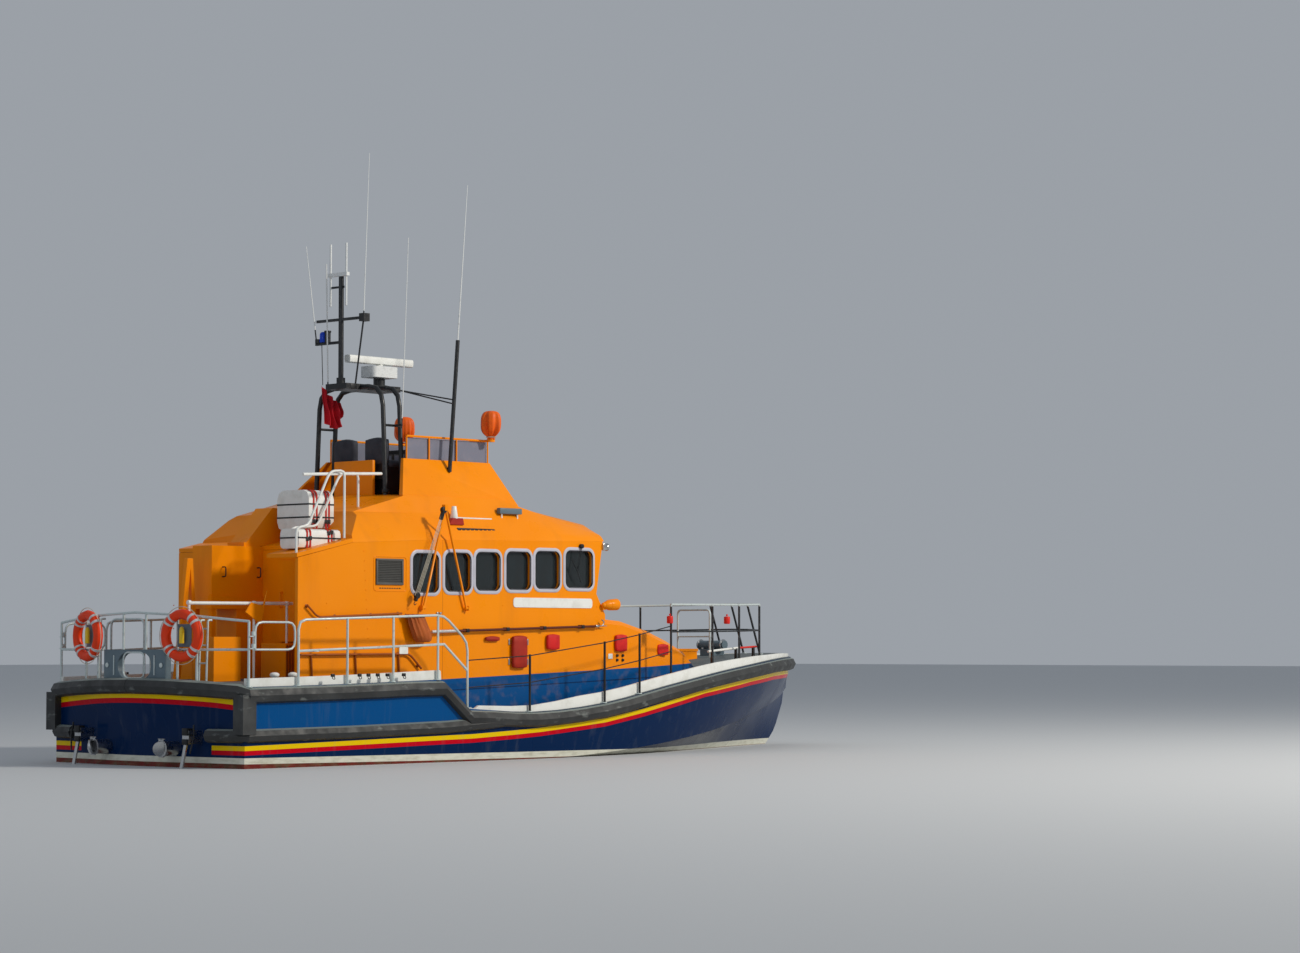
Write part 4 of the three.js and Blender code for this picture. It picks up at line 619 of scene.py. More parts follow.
def drum(bm, start, end, radius, sides=18, end_radius=None, edge=0.0):
    """A cylinder or cone between two points, its rims softened if asked."""
    start, end = Vector(start), Vector(end)
    turn = (end - start).to_track_quat("Z", "Y").to_matrix().to_4x4()
    made = bmesh.ops.create_cone(
        bm, cap_ends=True, segments=sides, radius1=radius,
        radius2=radius if end_radius is None else end_radius, depth=(end - start).length,
        matrix=Matrix.Translation((start + end) / 2) @ turn,
    )["verts"]
    if edge:
        caps = {f for v in made for f in v.link_faces if len(f.verts) == sides}
        soften(bm, list({e for f in caps for e in f.edges}), edge)


def ball(bm, centre, sizes, rings=8, spokes=14):
    matrix = Matrix.Translation(centre) @ Matrix.Diagonal((*sizes, 1))
    bmesh.ops.create_uvsphere(bm, u_segments=spokes, v_segments=rings, radius=1, matrix=matrix)


def plate(bm, outline, thick, edge=0.002):
    """A flat piece with an outline of its own, grown by the vector thick."""
    face = bm.faces.new([bm.verts.new(p) for p in outline])
    grown = verts_in(bmesh.ops.extrude_face_region(bm, geom=[face], use_keep_orig=True)["geom"])
    bmesh.ops.translate(bm, vec=thick, verts=grown)
    skin = {face} | {f for v in [*face.verts, *grown] for f in v.link_faces}
    bmesh.ops.recalc_face_normals(bm, faces=list(skin))
    soften(bm, list({e for f in skin for e in f.edges}), edge, 1)


def round_outline(u, v, radius, steps=4):
    """A rectangle from u[0] to u[1] and v[0] to v[1] with rounded corners."""
    centres = [
        (u[1] - radius, v[1] - radius), (u[0] + radius, v[1] - radius),
        (u[0] + radius, v[0] + radius), (u[1] - radius, v[0] + radius),
    ]
    out = []
    for quarter, (cu, cv) in enumerate(centres):
        for i in range(steps + 1):
            angle = (quarter + i / steps) * math.pi / 2
            out.append((cu + radius * math.cos(angle), cv + radius * math.sin(angle)))
    return out


def round_path(points, radius, steps=4):
    """A path with its inner corners eased."""
    line = [Vector(p) for p in points]
    out = [line[0]]
    for before, corner, after in zip(line, line[1:], line[2:]):
        back, ahead = before - corner, after - corner
        reach = min(radius, back.length / 2.2, ahead.length / 2.2)
        start = corner + back.normalized() * reach
        end = corner + ahead.normalized() * reach
        for i in range(steps + 1):
            t = i / steps
            out.append(start * (1 - t) ** 2 + corner * 2 * t * (1 - t) + end * t**2)
    return out + [line[-1]]


def round_points(centre, across, up, count):
    """Points round an ellipse, from its centre and its two half axes."""
    centre, across, up = Vector(centre), Vector(across), Vector(up)
    turns = (2 * math.pi * i / count for i in range(count))
    return [centre + across * math.cos(a) + up * math.sin(a) for a in turns]


def on_side(points, out):
    """Lays flat points on a plane that faces starboard, so far out from the centreline."""
    return [(u, -out, v) for u, v in points]


def both_sides(bm):
    """Adds the port twin of everything in the mesh."""
    copy = bmesh.ops.duplicate(bm, geom=bm.verts[:] + bm.edges[:] + bm.faces[:])["geom"]
    for vert in verts_in(copy):
        vert.co.y = -vert.co.y
    bmesh.ops.reverse_faces(bm, faces=[f for f in copy if isinstance(f, bmesh.types.BMFace)])


made_pieces = []


def add(name, bm, finish, body="boat", crease=38):
    """Makes the mesh a piece that rides on a body. Edges sharper than the crease stay sharp."""
    for edge in bm.edges:
        edge.smooth = edge.calc_face_angle(0) < math.radians(crease)
    for face in bm.faces:
        face.smooth = True
    piece = into_scene(name, mesh_from(name, bm))
    piece.data.materials.append(finish)
    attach(piece, body)
    made_pieces.append(piece)
    print(name, len(piece.data.polygons), "faces")
    return piece

# %% [markdown]
# ## Window gaskets
# Each pane is held by a thick pale rubber gasket with rounded corners. A spline with a bevel would
# do, but a bar swept along the opening's own outline is already a mesh and needs no conversion. The
# same outline, drawn a little smaller, makes the dark filler strip that locks the glass in.

# %% Gaskets round the panes
SIDE_WALL = 1.7  # half the deckhouse's width
WINDOW_HIGH = 0.59
SILL_AFT, SILL_RISE = 2.47, 0.034  # the side sills climb forward
SIDE_WINDOWS = [
    (-3.47, -2.93), (-2.81, -2.26), (-2.17, -1.64), (-1.52, -0.98), (-0.89, -0.34),
    (-0.22, 0.4),
]
FRONT_WINDOWS = [(-0.86, -0.32), (-0.27, 0.27), (0.32, 0.86)]
FRONT_WINDOW_Z = (2.62, 3.15)
FRONT_RAKE = 0.174
OFF_WALL = 0.002
GASKET_PROUD = 0.026
# Corner radius of the opening, how far the gasket laps it, its width
SIDE_GASKET, FRONT_GASKET = (0.11, 0.016, 0.062), (0.09, 0.012, 0.05)
FILLER_WIDE, FILLER_PROUD, FILLER_INSET = 0.012, 0.034, -0.006
gaskets, fillers = bmesh.new(), bmesh.new()


def front_face(z):
    """How far forward the raked front of the wheelhouse is at a height."""
    return 0.73 + (z - 2.5) * FRONT_RAKE


def on_side_wall(points):
    return on_side(points, SIDE_WALL + OFF_WALL)


def on_front_wall(points):
    return [(front_face(v) + OFF_WALL, u, v) for u, v in points]


def stretched(u, v, corner, more):
    """A window's rounded outline, stretched about its middle by so much each way."""
    mid_u, mid_v = sum(u) / 2, sum(v) / 2
    grow_u, grow_v = 1 + 2 * more / (u[1] - u[0]), 1 + 2 * more / (v[1] - v[0])
    outline = round_outline(u, v, corner, 6)
    return [(mid_u + (a - mid_u) * grow_u, mid_v + (b - mid_v) * grow_v) for a, b in outline]


def seal(u, v, corner, more, wide, lay, facing):
    """The gasket of one window and its filler strip."""
    outer, inner = (lay(stretched(u, v, corner, by)) for by in (more, FILLER_INSET))
    bar(gaskets, outer, wide, GASKET_PROUD, 10, facing, True)
    bar(fillers, inner, FILLER_WIDE, FILLER_PROUD, 6, facing, True)


for span in SIDE_WINDOWS:
    sill = SILL_AFT + (span[0] - SIDE_WINDOWS[0][0]) * SILL_RISE
    seal(span, (sill, sill + WINDOW_HIGH), *SIDE_GASKET, on_side_wall, (0, -1, 0))
both_sides(gaskets)
both_sides(fillers)
for span in FRONT_WINDOWS:
    seal(span, FRONT_WINDOW_Z, *FRONT_GASKET, on_front_wall, (1, 0, -FRONT_RAKE))
add("window_gaskets", gaskets, gasket_grey)
add("window_fillers", fillers, black_rubber)

# %% Wipers on the forward panes
wipers = bmesh.new()
PIVOT_X, PIVOT_Z = 0.12, 3.235
BLADE_X, ARM_END_Z = 0.02, 2.84
WIPER_OUT = SIDE_WALL + 0.035
for _, side in SIDES:
    out = side * WIPER_OUT
    pivot = (PIVOT_X, side * SIDE_WALL, PIVOT_Z), (PIVOT_X, out + side * 0.02, PIVOT_Z)
    drum(wipers, *pivot, 0.035, edge=0.004)
    for shift in (-0.012, 0.012):
        arm = [(PIVOT_X + shift, out, PIVOT_Z), (BLADE_X + shift, out, ARM_END_Z)]
        bar(wipers, arm, 0.01, 0.008, 6)
    blade = [(-0.1, out, 3.02), (BLADE_X, out + side * 0.006, ARM_END_Z), (0.1, out, 2.68)]
    bar(wipers, blade, 0.016, 0.02, 6)
for y in (-0.59, 0.0, 0.59):
    top, foot = front_face(3.2) + 0.03, front_face(2.8) + 0.035
    blade = [(front_face(z) + 0.035, y + shift, z) for z, shift in ((3.0, -0.12), (2.66, 0))]
    drum(wipers, (front_face(3.2), y, 3.2), (top + 0.03, y, 3.2), 0.03, edge=0.004)
    bar(wipers, [(top, y, 3.2), (foot, y - 0.06, 2.82)], 0.014, 0.01, 6)
    bar(wipers, blade, 0.014, 0.02, 6)
add("wipers", wipers, black_coat)

# %% [markdown]
# ## Side vent, bolts and the blank plaque
# Engine air comes in through a louvre in the deckhouse side. Its slats are a row of tilted blocks
# inside a frame. Bolt heads and slots repeat many times, so each is only a short drum or block.

# %% Louvre in the deckhouse side
LOUVRE_X, LOUVRE_Z = (-4.18, -3.68), (2.6, 2.94)
FRAME_OUT, FRAME_IN, FRAME_PROUD = 0.02, 0.012, 0.022
SLATS = 13
SLAT_TILT = Matrix.Rotation(math.radians(38), 4, "X")


def wall_block(bm, x, z, out, edge=0.003, inside=0.002, turn=None):
    """A block on the starboard wall, from x[0] to x[1] and z[0] to z[1], standing out so far."""
    block(bm, (x[0], -SIDE_WALL - out, z[0]), (x[1], -SIDE_WALL + inside, z[1]), edge, turn)


louvre = bmesh.new()
(x0, x1), (z0, z1) = LOUVRE_X, LOUVRE_Z
wide, tall = (x0 - FRAME_OUT, x1 + FRAME_OUT), (z0 + FRAME_IN, z1 - FRAME_IN)
wall_block(louvre, wide, (z0 - FRAME_OUT, z0 + FRAME_IN), FRAME_PROUD)
wall_block(louvre, wide, (z1 - FRAME_IN, z1 + FRAME_OUT), FRAME_PROUD)
wall_block(louvre, (x0 - FRAME_OUT, x0 + FRAME_IN), tall, FRAME_PROUD)
wall_block(louvre, (x1 - FRAME_IN, x1 + FRAME_OUT), tall, FRAME_PROUD)
wall_block(louvre, LOUVRE_X, LOUVRE_Z, 0.004, 0, 0.004)
for i in range(SLATS):
    z = z0 + 0.02 + i * (z1 - z0 - 0.04) / (SLATS - 1)
    slat = (x0 + FRAME_IN, x1 - FRAME_IN), (z - 0.003, z + 0.003)
    wall_block(louvre, *slat, 0.02, 0, turn=SLAT_TILT)
both_sides(louvre)
add("side_louvres", louvre, grille_grey)

# %% Raised line round the louvre, slots, bolts and plaque
BOLTS_FOOT, BOLT_STEP = 1.8, 0.14
BOLT_PROUD, BOLT_RADIUS, BOLT_TIP = 0.007, 0.01, 0.007
SLOT_STEP = 0.0485
trim, slots, plaque = bmesh.new(), bmesh.new(), bmesh.new()
vent_line = on_side(round_outline((-4.24, -3.59), (2.49, 2.99), 0.05), SIDE_WALL)
bar(trim, vent_line, 0.016, 0.014, 6, (0, -1, 0), True)
column = [BOLTS_FOOT + i * BOLT_STEP for i in range(10)]
bolts = [(-4.34 - (z - 1.78) * 0.073, z) for z in column]
bolts += [(x, z) for x in (-5.15, -1.58, -0.93, 0.5) for z in (1.95, 2.3)]
for x, z in bolts:
    head = (x, -SIDE_WALL - BOLT_PROUD, z)
    drum(trim, (x, -SIDE_WALL, z), head, BOLT_RADIUS, 8, BOLT_TIP)
for i in range(9):
    x = -4.11 + i * SLOT_STEP
    wall_block(slots, (x - 0.015, x + 0.015), (2.522, 2.538), 0.003, 0.001)
plaque_line = on_side(round_outline((-1.36, 0.39), (2.275, 2.425), 0.05), SIDE_WALL + 0.001)
plate(plaque, plaque_line, (0, -0.008, 0))
for bm in (trim, slots, plaque):
    both_sides(bm)
add("wall_bolts", trim, orange_coat)
add("vent_slots", slots, black_rubber)
add("blank_plaques", plaque, white_coat)

# %% [markdown]
# ## Gear clipped to the deckhouse side
# A long boathook lies in clips below the windows, with a bound grip aft and a steel hook forward.
# Small canvas covers hide lockers and sockets. They are soft boxes: a subdivided block whose faces
# are pushed out, because a flat-faced block would read as hard plastic.

# %% Boathook, horn and floodlight
HOOK_OUT = 1.765
SHAFT_SPAN, GRIP_SPAN = (-2.62, 0.45), (-3.13, -2.62)
TURNS, TURN_STEP, TURN_WIDE = 9, 0.05, 0.018  # the binding on the grip
shaft, bound, clips, hook, horn, flood = (bmesh.new() for _ in range(6))


def hook_line(x):
    """Height of the boathook, which climbs gently forward."""
    return 1.9 + (x + 3.13) * 0.027


for bm, span, width in ((shaft, SHAFT_SPAN, 0.038), (bound, GRIP_SPAN, 0.044)):
    bar(bm, on_side([(x, hook_line(x)) for x in span], HOOK_OUT), width, sides=14)
for i in range(TURNS):
    x = -3.08 + i * TURN_STEP
    z = hook_line(x)
    drum(bound, *on_side([(x, z), (x + TURN_WIDE, z)], HOOK_OUT), 0.026, 14, edge=0.003)
for x in (-2.4, -1.55, -0.75, 0.1):
    z = hook_line(x)
    clip = (x - 0.03, x + 0.03), (z - 0.028, z + 0.028)
    wall_block(clips, *clip, HOOK_OUT + 0.028 - SIDE_WALL, 0.006, -0.001)
tip = hook_line(0.5)
bend = [(0.4, tip), (0.56, tip + 0.004), (0.6, tip + 0.07), (0.54, tip + 0.1)]
bar(hook, round_path(on_side(bend, HOOK_OUT), 0.05), 0.02)
drum(hook, *on_side([(0.4, tip), (0.47, tip)], HOOK_OUT), 0.024, edge=0.003)
drum(hook, *on_side([(0.56, tip + 0.004), (0.66, tip + 0.006)], HOOK_OUT), 0.011, 12, 0.004)
drum(horn, (0.62, -1.745, 2.325), (0.72, -1.748, 2.33), 0.045, 18, 0.085, edge=0.006)
drum(horn, (0.72, -1.748, 2.33), (0.9, -1.755, 2.34), 0.085, 24, 0.092, edge=0.014)
ball(horn, (0.62, -1.74, 2.325), (0.05, 0.045, 0.045))
block(horn, (0.6, -1.745, 2.25), (0.66, -1.6, 2.31))
block(flood, (0.615, -1.735, 3.185), (0.72, -1.6, 3.29), 0.012)
drum(flood, (0.71, -1.67, 3.238), (0.755, -1.67, 3.236), 0.05, 20, 0.062, edge=0.003)
both_sides(flood)
add("boathook_shaft", shaft, boathook_brown)
add("boathook_grip", bound, silver_tape)
add("boathook_clips", clips, black_coat)
add("boathook_hook", hook, steel_coat)
add("horn", horn, orange_coat)
add("floodlights", flood, steel_coat)

# %% Soft covers over sockets
COVER_PUFF = 0.014
SOFT_CREASE = 70
ON_FACE = 0.99  # past this share of its half size a point lies on a face of the box
# Columns: from x, to x, from z, to z, how far out, half width of the wall there
BRIGHT_COVERS = [
    (-0.65, -0.39, 1.64, 1.86, 0.06, 1.7), (0.91, 1.16, 1.61, 1.86, 0.06, 1.685),
    (2.06, 2.3, 1.55, 1.71, 0.05, 1.545),
]
DARK_COVERS = [(-1.97, -1.69, 1.77, 1.825, 0.05, 1.7), (-1.41, -1.11, 1.36, 1.84, 0.07, 1.7)]


def soft_box(bm, low, high, puff=COVER_PUFF):
    """A block whose faces swell between softened edges, like canvas over a box."""
    low, high = Vector(low), Vector(high)
    middle, half = (low + high) / 2, (high - low) / 2
    part = bmesh.new()
    bmesh.ops.create_cube(part, size=2)
    bmesh.ops.subdivide_edges(part, edges=part.edges[:], cuts=5, use_grid_fill=True)
    for vert in part.verts:
        spot = vert.co.copy()
        bulge = [math.cos(c * math.pi / 2) for c in spot]
        pull = 1 - 0.07 * sum(abs(c) > ON_FACE for c in spot) / 3
        for i in range(3):
            vert.co[i] = middle[i] + spot[i] * half[i] * pull
            if abs(spot[i]) > ON_FACE:
                vert.co[i] += math.copysign(puff * bulge[i - 1] * bulge[i - 2], spot[i])
    bmesh.ops.recalc_face_normals(part, faces=part.faces[:])
    data = mesh_from("soft_box", part)
    bm.from_mesh(data)
    bpy.data.meshes.remove(data)


for name, rows, finish in (
    ("covers_bright", BRIGHT_COVERS, cover_red), ("covers_dark", DARK_COVERS, cover_dark)
):
    covers = bmesh.new()
    for x0, x1, z0, z1, out, wall in rows:
        soft_box(covers, (x0, -wall - out, z0), (x1, -wall - 0.012, z1))
        hem = on_side([(x0 + 0.01, z0 + 0.012), (x1 - 0.01, z0 + 0.012)], wall + out * 0.6)
        bar(covers, hem, 0.012, sides=6)
    both_sides(covers)
    add(name, covers, finish, crease=SOFT_CREASE)

# %% Small vents, hinges and plates by the covers
fittings, hinges, labels = bmesh.new(), bmesh.new(), bmesh.new()
for x in (0.97, 1.1):
    for z in (1.47, 1.54):
        drum(fittings, (x, -1.688, z), (x, -1.715, z), 0.026, 14, 0.02, edge=0.003)
for x in (-1.05, -1.45):
    for z in (1.45, 1.75):
        wall_block(hinges, (x - 0.015, x + 0.015), (z - 0.045, z + 0.045), 0.014, 0.003, 0.001)
        drum(hinges, *on_side([(x, z - 0.04), (x, z + 0.04)], SIDE_WALL + 0.012), 0.009, 10)
for x in (-2.96, -2.9):
    wall_block(hinges, (x - 0.02, x + 0.02), (2.16, 2.19), 0.02, 0.004, 0.001)
both_sides(hinges)
plate(labels, on_side(round_outline((0.76, 0.86), (1.49, 1.57), 0.01, 2), 1.6985), (0, -0.006, 0))
deck_plate = round_outline((-4.27, -4.1), (1.575, 1.675), 0.012, 2)
plate(labels, on_side(deck_plate, 2.275), (0, -0.008, 0))
add("small_vents", fittings, black_rubber)
add("small_hinges", hinges, steel_coat)
add("blank_plates", labels, white_coat)

# %% [markdown]
# ## Grab rails along the deckhouse
# Two rails run along the wall aft: a hand rail at shoulder height and a lower one over short posts.
# Their dark orange-brown is painted shade. They are bars swept along eased paths. The port ones are
# shorter, because the port wall stops where the alcove opens.

# %% Grab rails
RAIL_OUT = 1.745
PORT_WALL_AFT = -5.04
# Columns: distance along the boat, height of the rail there
GRAB_POSTS = [
    (-5.54, 2.255), (-5.0, 2.115), (-4.3, 2.14), (-3.76, 2.162), (-5.46, 1.562), (-4.61, 1.568),
    (-3.76, 1.574), (-3.36, 1.4),
]
UPPER_FRONT = (-3.72, 2.165)
UPPER_AFT = {-1: [(-5.56, 2.27), (-5.36, 2.1)], 1: [(-5.02, 2.113)]}
LOWER_AFT = {-1: (-5.68, 1.565), 1: (-4.8, 1.565)}
LOWER_FRONT = [(-3.56, 1.575), (-3.32, 1.36)]
grab = bmesh.new()
for _, side in SIDES:
    upper, lower = [*UPPER_AFT[side], UPPER_FRONT], [LOWER_AFT[side], *LOWER_FRONT]
    for rail, width in ((upper, 0.03), (lower, 0.034)):
        bar(grab, round_path(on_side(rail, -side * RAIL_OUT), 0.08), width, sides=12)
    for x, z in GRAB_POSTS:
        if side < 0 or x > PORT_WALL_AFT:
            foot = (x, side * (SIDE_WALL - 0.002), z)
            drum(grab, foot, (x, side * RAIL_OUT, z), 0.012, 10)
            drum(grab, foot, (x, side * (SIDE_WALL + 0.008), z), 0.028, 12, edge=0.002)
    for x in (-5.46, -4.61, -3.76):
        if side < 0 or x > PORT_WALL_AFT:
            strut = on_side([(x, 1.55), (x + 0.02, 1.26)], -side * (SIDE_WALL + 0.02))
            bar(grab, strut, 0.026, sides=10)
add("grab_rails", grab, shaded_grab_coat)

# %% [markdown]
# ## On the roofs and the alcove
# The liferaft canisters are two shells joined by bands and lashed down with webbing, the side lamps
# stand on wedges at the roof's edge, and a pole joins the tops of the two handrails. A strap is a
# flat bar swept over the canister's rounded outline.

# %% Liferaft bands and straps
# Columns: x range, y range, z range, corner radius, band heights, first strap of each pair
RAFTS = [
    ((-5.52, -4.715), (-1.51, -1.11), (3.08, 3.365), 0.063, (3.235,), (-5.36, -4.95)),
    ((-4.892, -4.407), (-1.02, -0.33), (3.37, 3.96), 0.13, (3.56, 3.75), (-4.8, -4.56)),
]
STRAP_APART = 0.06
STRAP_WIDE, STRAP_THICK = 0.034, 0.007
bands, straps = bmesh.new(), bmesh.new()


def roof_top(x):
    """Height of the sloping low roof."""
    return 3.005 + (x + 5.72) * 0.2215


for (x0, x1), (y0, y1), (z0, z1), radius, band_heights, strap_places in RAFTS:
    for z in band_heights:
        hoop = [(x0, y0, z), (x1, y0, z), (x1, y1, z), (x0, y1, z)]
        bar(bands, hoop, 0.012, 0.022, 4, (0, 0, 1), True)
    for x in [first + shift for first in strap_places for shift in (0, STRAP_APART)]:
        foot = max(z0, roof_top(x) + 0.004)
        over = [(x, y0, foot), (x, y0, z1), (x, y1, z1), (x, y1, foot)]
        bar(straps, round_path(over, radius * 0.95, 5), STRAP_THICK, STRAP_WIDE, 4, (1, 0, 0))
        buckle = (x - 0.024, y0 - 0.012, foot + 0.1), (x + 0.024, y0 - 0.002, foot + 0.16)
        block(bands, *buckle, 0.003)
add("raft_bands", bands, black_rubber)
add("raft_straps", straps, webbing_red)

# %% Side lamps, louvres and the roof's small boxes
LAMP_X = -2.44
LOUVRE_STEP, LOUVRE_WIDE = 0.09, 0.06
lamp_base, lamp_cone, louvres, roof_box = (bmesh.new() for _ in range(4))
wedge = on_side([(-2.6, 3.5), (-2.28, 3.5), (-2.3, 3.6), (-2.52, 3.6)], 1.46)
plate(lamp_base, wedge, (0, -0.12, 0), 0.006)
drum(lamp_cone, (LAMP_X, -1.52, 3.59), (LAMP_X, -1.52, 3.78), 0.062, 16, 0.035, 0.006)
bar(lamp_cone, on_side([(-2.37, 3.61), (-1.6, 3.61)], 1.47), 0.026, sides=8)
for x in (-2.2, -1.7):
    drum(lamp_cone, (x, -1.47, 3.5), (x, -1.47, 3.61), 0.012, 8)
for x in (-1.36, -1.02):
    drum(lamp_cone, (x, -1.45, 3.5), (x, -1.45, 3.71), 0.014, 8)
for i in range(9):
    x = LAMP_X + i * LOUVRE_STEP
    block(louvres, (x, -1.612, 3.4), (x + LOUVRE_WIDE, -1.6, 3.44), 0.002)
block(louvres, (-2.45, -1.604, 3.385), (-1.66, -1.59, 3.455), 0.003)
block(roof_box, (-1.43, -1.49, 3.7), (-0.95, -1.41, 3.79), 0.012)
for bm in (lamp_base, lamp_cone, louvres, roof_box):
    both_sides(bm)
add("side_lamp_bases", lamp_base, cover_dark)
add("side_lamps", lamp_cone, white_coat)
add("roof_louvres", louvres, black_coat)
add("roof_boxes", roof_box, panel_coat)

# %% Pole between the handrails, and the casing's handles
pole, handles = bmesh.new(), bmesh.new()
bar(pole, [(-5.57, -1.65, 4.13), (-4.9, -1.6, 4.165), (-3.65, -1.22, 4.23)], 0.045, sides=12)
for x in (-5.83, -5.17):
    grip = [(x, -0.21, 2.69), (x, -0.29, 2.69), (x, -0.29, 2.83), (x, -0.21, 2.83)]
    bar(handles, round_path(grip, 0.03), 0.018, sides=8)
add("handrail_pole", pole, white_coat)
add("casing_handles", handles, black_coat)

# %% Strip that closes the front wall up to the roof
# Columns: forward, out from the centreline, height of the roof's underside
EAVES = [
    (0.839, 0.0, 3.448), (0.839, 0.4, 3.444), (0.839, 0.8, 3.444), (0.832, 0.94, 3.442),
    (0.804, 1.05, 3.437), (0.772, 1.15, 3.431), (0.739, 1.25, 3.424), (0.707, 1.35, 3.417),
    (0.675, 1.45, 3.411),
]
WALL_TOP = 3.316
STRIP_HALF = 0.012
strip = bmesh.new()
rings = []
for x, y, top in [(x, -y, top) for x, y, top in EAVES[:0:-1]] + EAVES:
    aft, front = x - STRIP_HALF, x + STRIP_HALF
    corners = [(aft, y, WALL_TOP), (front, y, WALL_TOP), (front, y, top), (aft, y, top)]
    rings.append([strip.verts.new(corner) for corner in corners])
for first, second in zip(rings, rings[1:]):
    for i in range(4):
        strip.faces.new((first[i - 1], first[i], second[i], second[i - 1]))
strip.faces.new(rings[0])
strip.faces.new(rings[-1])
bmesh.ops.recalc_face_normals(strip, faces=strip.faces[:])
add("front_eaves_strip", strip, orange_coat)

# %% [markdown]
# ## Derrick tackle and the rope bag
# Four falls run between a block at the derrick's head and one near its foot. They are taut, and
# they swing with the derrick. Below hangs a cloth bag, gathered at its neck round a hoop: the
# points of each ring are pushed in and out, and the folds deepen towards the neck.

# %% Tackle
TACKLE_Y = -1.8
falls, tackle = bmesh.new(), bmesh.new()
for i in range(4):
    shift = (i - 1.5) * 0.04
    foot = (-3.47 + shift, TACKLE_Y + shift * 0.4, 2.43)
    bar(falls, [(-2.94 + shift * 0.5, TACKLE_Y, 3.64), foot], 0.008, sides=6)
for top, foot in (((-2.93, 3.7), (-2.985, 3.56)), ((-3.465, 2.43), (-3.5, 2.35))):
    sheave = [Vector((top[0], TACKLE_Y + half, top[1])) for half in (-0.028, 0.028)]
    drum(tackle, *sheave, 0.048, 16, edge=0.006)
    bar(tackle, on_side([top, foot], -TACKLE_Y), 0.05, 0.04, sides=4)
loop = on_side([(-3.5, 2.35), (-3.53, 2.31), (-3.51, 2.285), (-3.48, 2.31)], -TACKLE_Y)
bar(tackle, round_path(loop, 0.02), 0.012, sides=6)
add("tackle_falls", falls, rope_pale, "derrick")
add("tackle_blocks", tackle, black_coat, "derrick")


# %% Rope bag
def gathered(bm, rows, folds, seed, sides=56):
    """A cloth sack through rings. Each row: centre, half width, half depth, depth of the folds."""
    draw = random.Random(seed)
    phases = [draw.uniform(0, 6.28) for _ in range(3)]
    rings = []
    for centre, wide, deep, fold in rows:
        middle = Vector(centre)
        matrix = Matrix.Translation(middle) @ Matrix.Diagonal((wide, deep, 1, 1))
        ring = bmesh.ops.create_circle(bm, segments=sides, radius=1, matrix=matrix)["verts"]
        for vert in ring:
            spoke = vert.co - middle
            angle = math.atan2(spoke.y / deep, spoke.x / wide)
            wave = math.sin(angle * folds + phases[0])
            wave += 0.6 * math.sin(angle * (folds * 2 - 3) + phases[1])
            wave += 0.5 * math.sin(angle * 3 + phases[2])
            vert.co = middle + spoke * (1 + fold * wave * 0.5)
        rings.append(edges_of(ring))
    skin_over(bm, rings)


def eased(p, q, r, s, t):
    """The value a share t of the way from q to r, on a smooth curve through all four."""
    return q + 0.5 * t * (r - p + t * (2 * p - 5 * q + 4 * r - s + t * (3 * (q - r) + s - p)))


def eased_rows(rows, steps=4):
    """More rings between the given ones, along a smooth curve."""
    flat = [(*centre, *rest) for centre, *rest in rows]
    last = len(flat) - 1
    out = []
    for i in range(last):
        near = [flat[max(0, min(last, i + k))] for k in (-1, 0, 1, 2)]
        out += [[eased(*four, step / steps) for four in zip(*near)] for step in range(steps)]
    out.append(flat[last])
    return [((x, y, z), wide, deep, fold) for x, y, z, wide, deep, fold in out]


# Columns: centre of the ring, half width, half depth, depth of the folds
BAG_ROWS = [
    ((-3.34, -1.795, 1.745), 0.08, 0.035, 0.03), ((-3.34, -1.795, 1.752), 0.125, 0.062, 0.05),
    ((-3.35, -1.8, 1.8), 0.165, 0.083, 0.09), ((-3.385, -1.8, 1.89), 0.172, 0.088, 0.12),
    ((-3.43, -1.795, 1.99), 0.162, 0.08, 0.16), ((-3.465, -1.79, 2.08), 0.15, 0.072, 0.2),
    ((-3.48, -1.79, 2.115), 0.158, 0.07, 0.16), ((-3.485, -1.79, 2.145), 0.178, 0.078, 0.2),
    ((-3.487, -1.79, 2.155), 0.182, 0.08, 0.2),
]
BAG_FOLDS, BAG_SEED = 13, 5
bag, hoop = bmesh.new(), bmesh.new()
gathered(bag, eased_rows(BAG_ROWS), BAG_FOLDS, BAG_SEED)
bag_piece = add("rope_bag_cloth", bag, bag_cloth, crease=75)
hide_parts("rope_bag")
neck = round_points((-3.48, -1.79, 2.112), (0.166, 0, 0), (0, 0.076, 0), 32)
bar(hoop, neck, 0.012, sides=8, closed=True)
for x in (-3.6, -3.36):
    drum(hoop, (x, -1.73, 2.112), (x, -1.69, 2.16), 0.01, 8)
add("rope_bag_hoop", hoop, black_coat)

# %% [markdown]
# ## Flying bridge and cabin
# The bridge has a console with screens, a wheel and levers, and two seats with stuffed cushions.
# The same cushions sit on the seats inside the wheelhouse, where they show through the windows.
# A cushion is a soft box.

# %% Cushions
CUSHION_LAP = 0.014
CABIN_SEATS = [(-3.9, 0.76), (-2.7, 0.76), (-1.3, 0.62)]  # the port seat of each pair
bridge_cushions, cabin_cushions = bmesh.new(), bmesh.new()


def cushion(bm, low, high):
    soft_box(bm, [v - CUSHION_LAP for v in low], [v + CUSHION_LAP for v in high], 0.03)


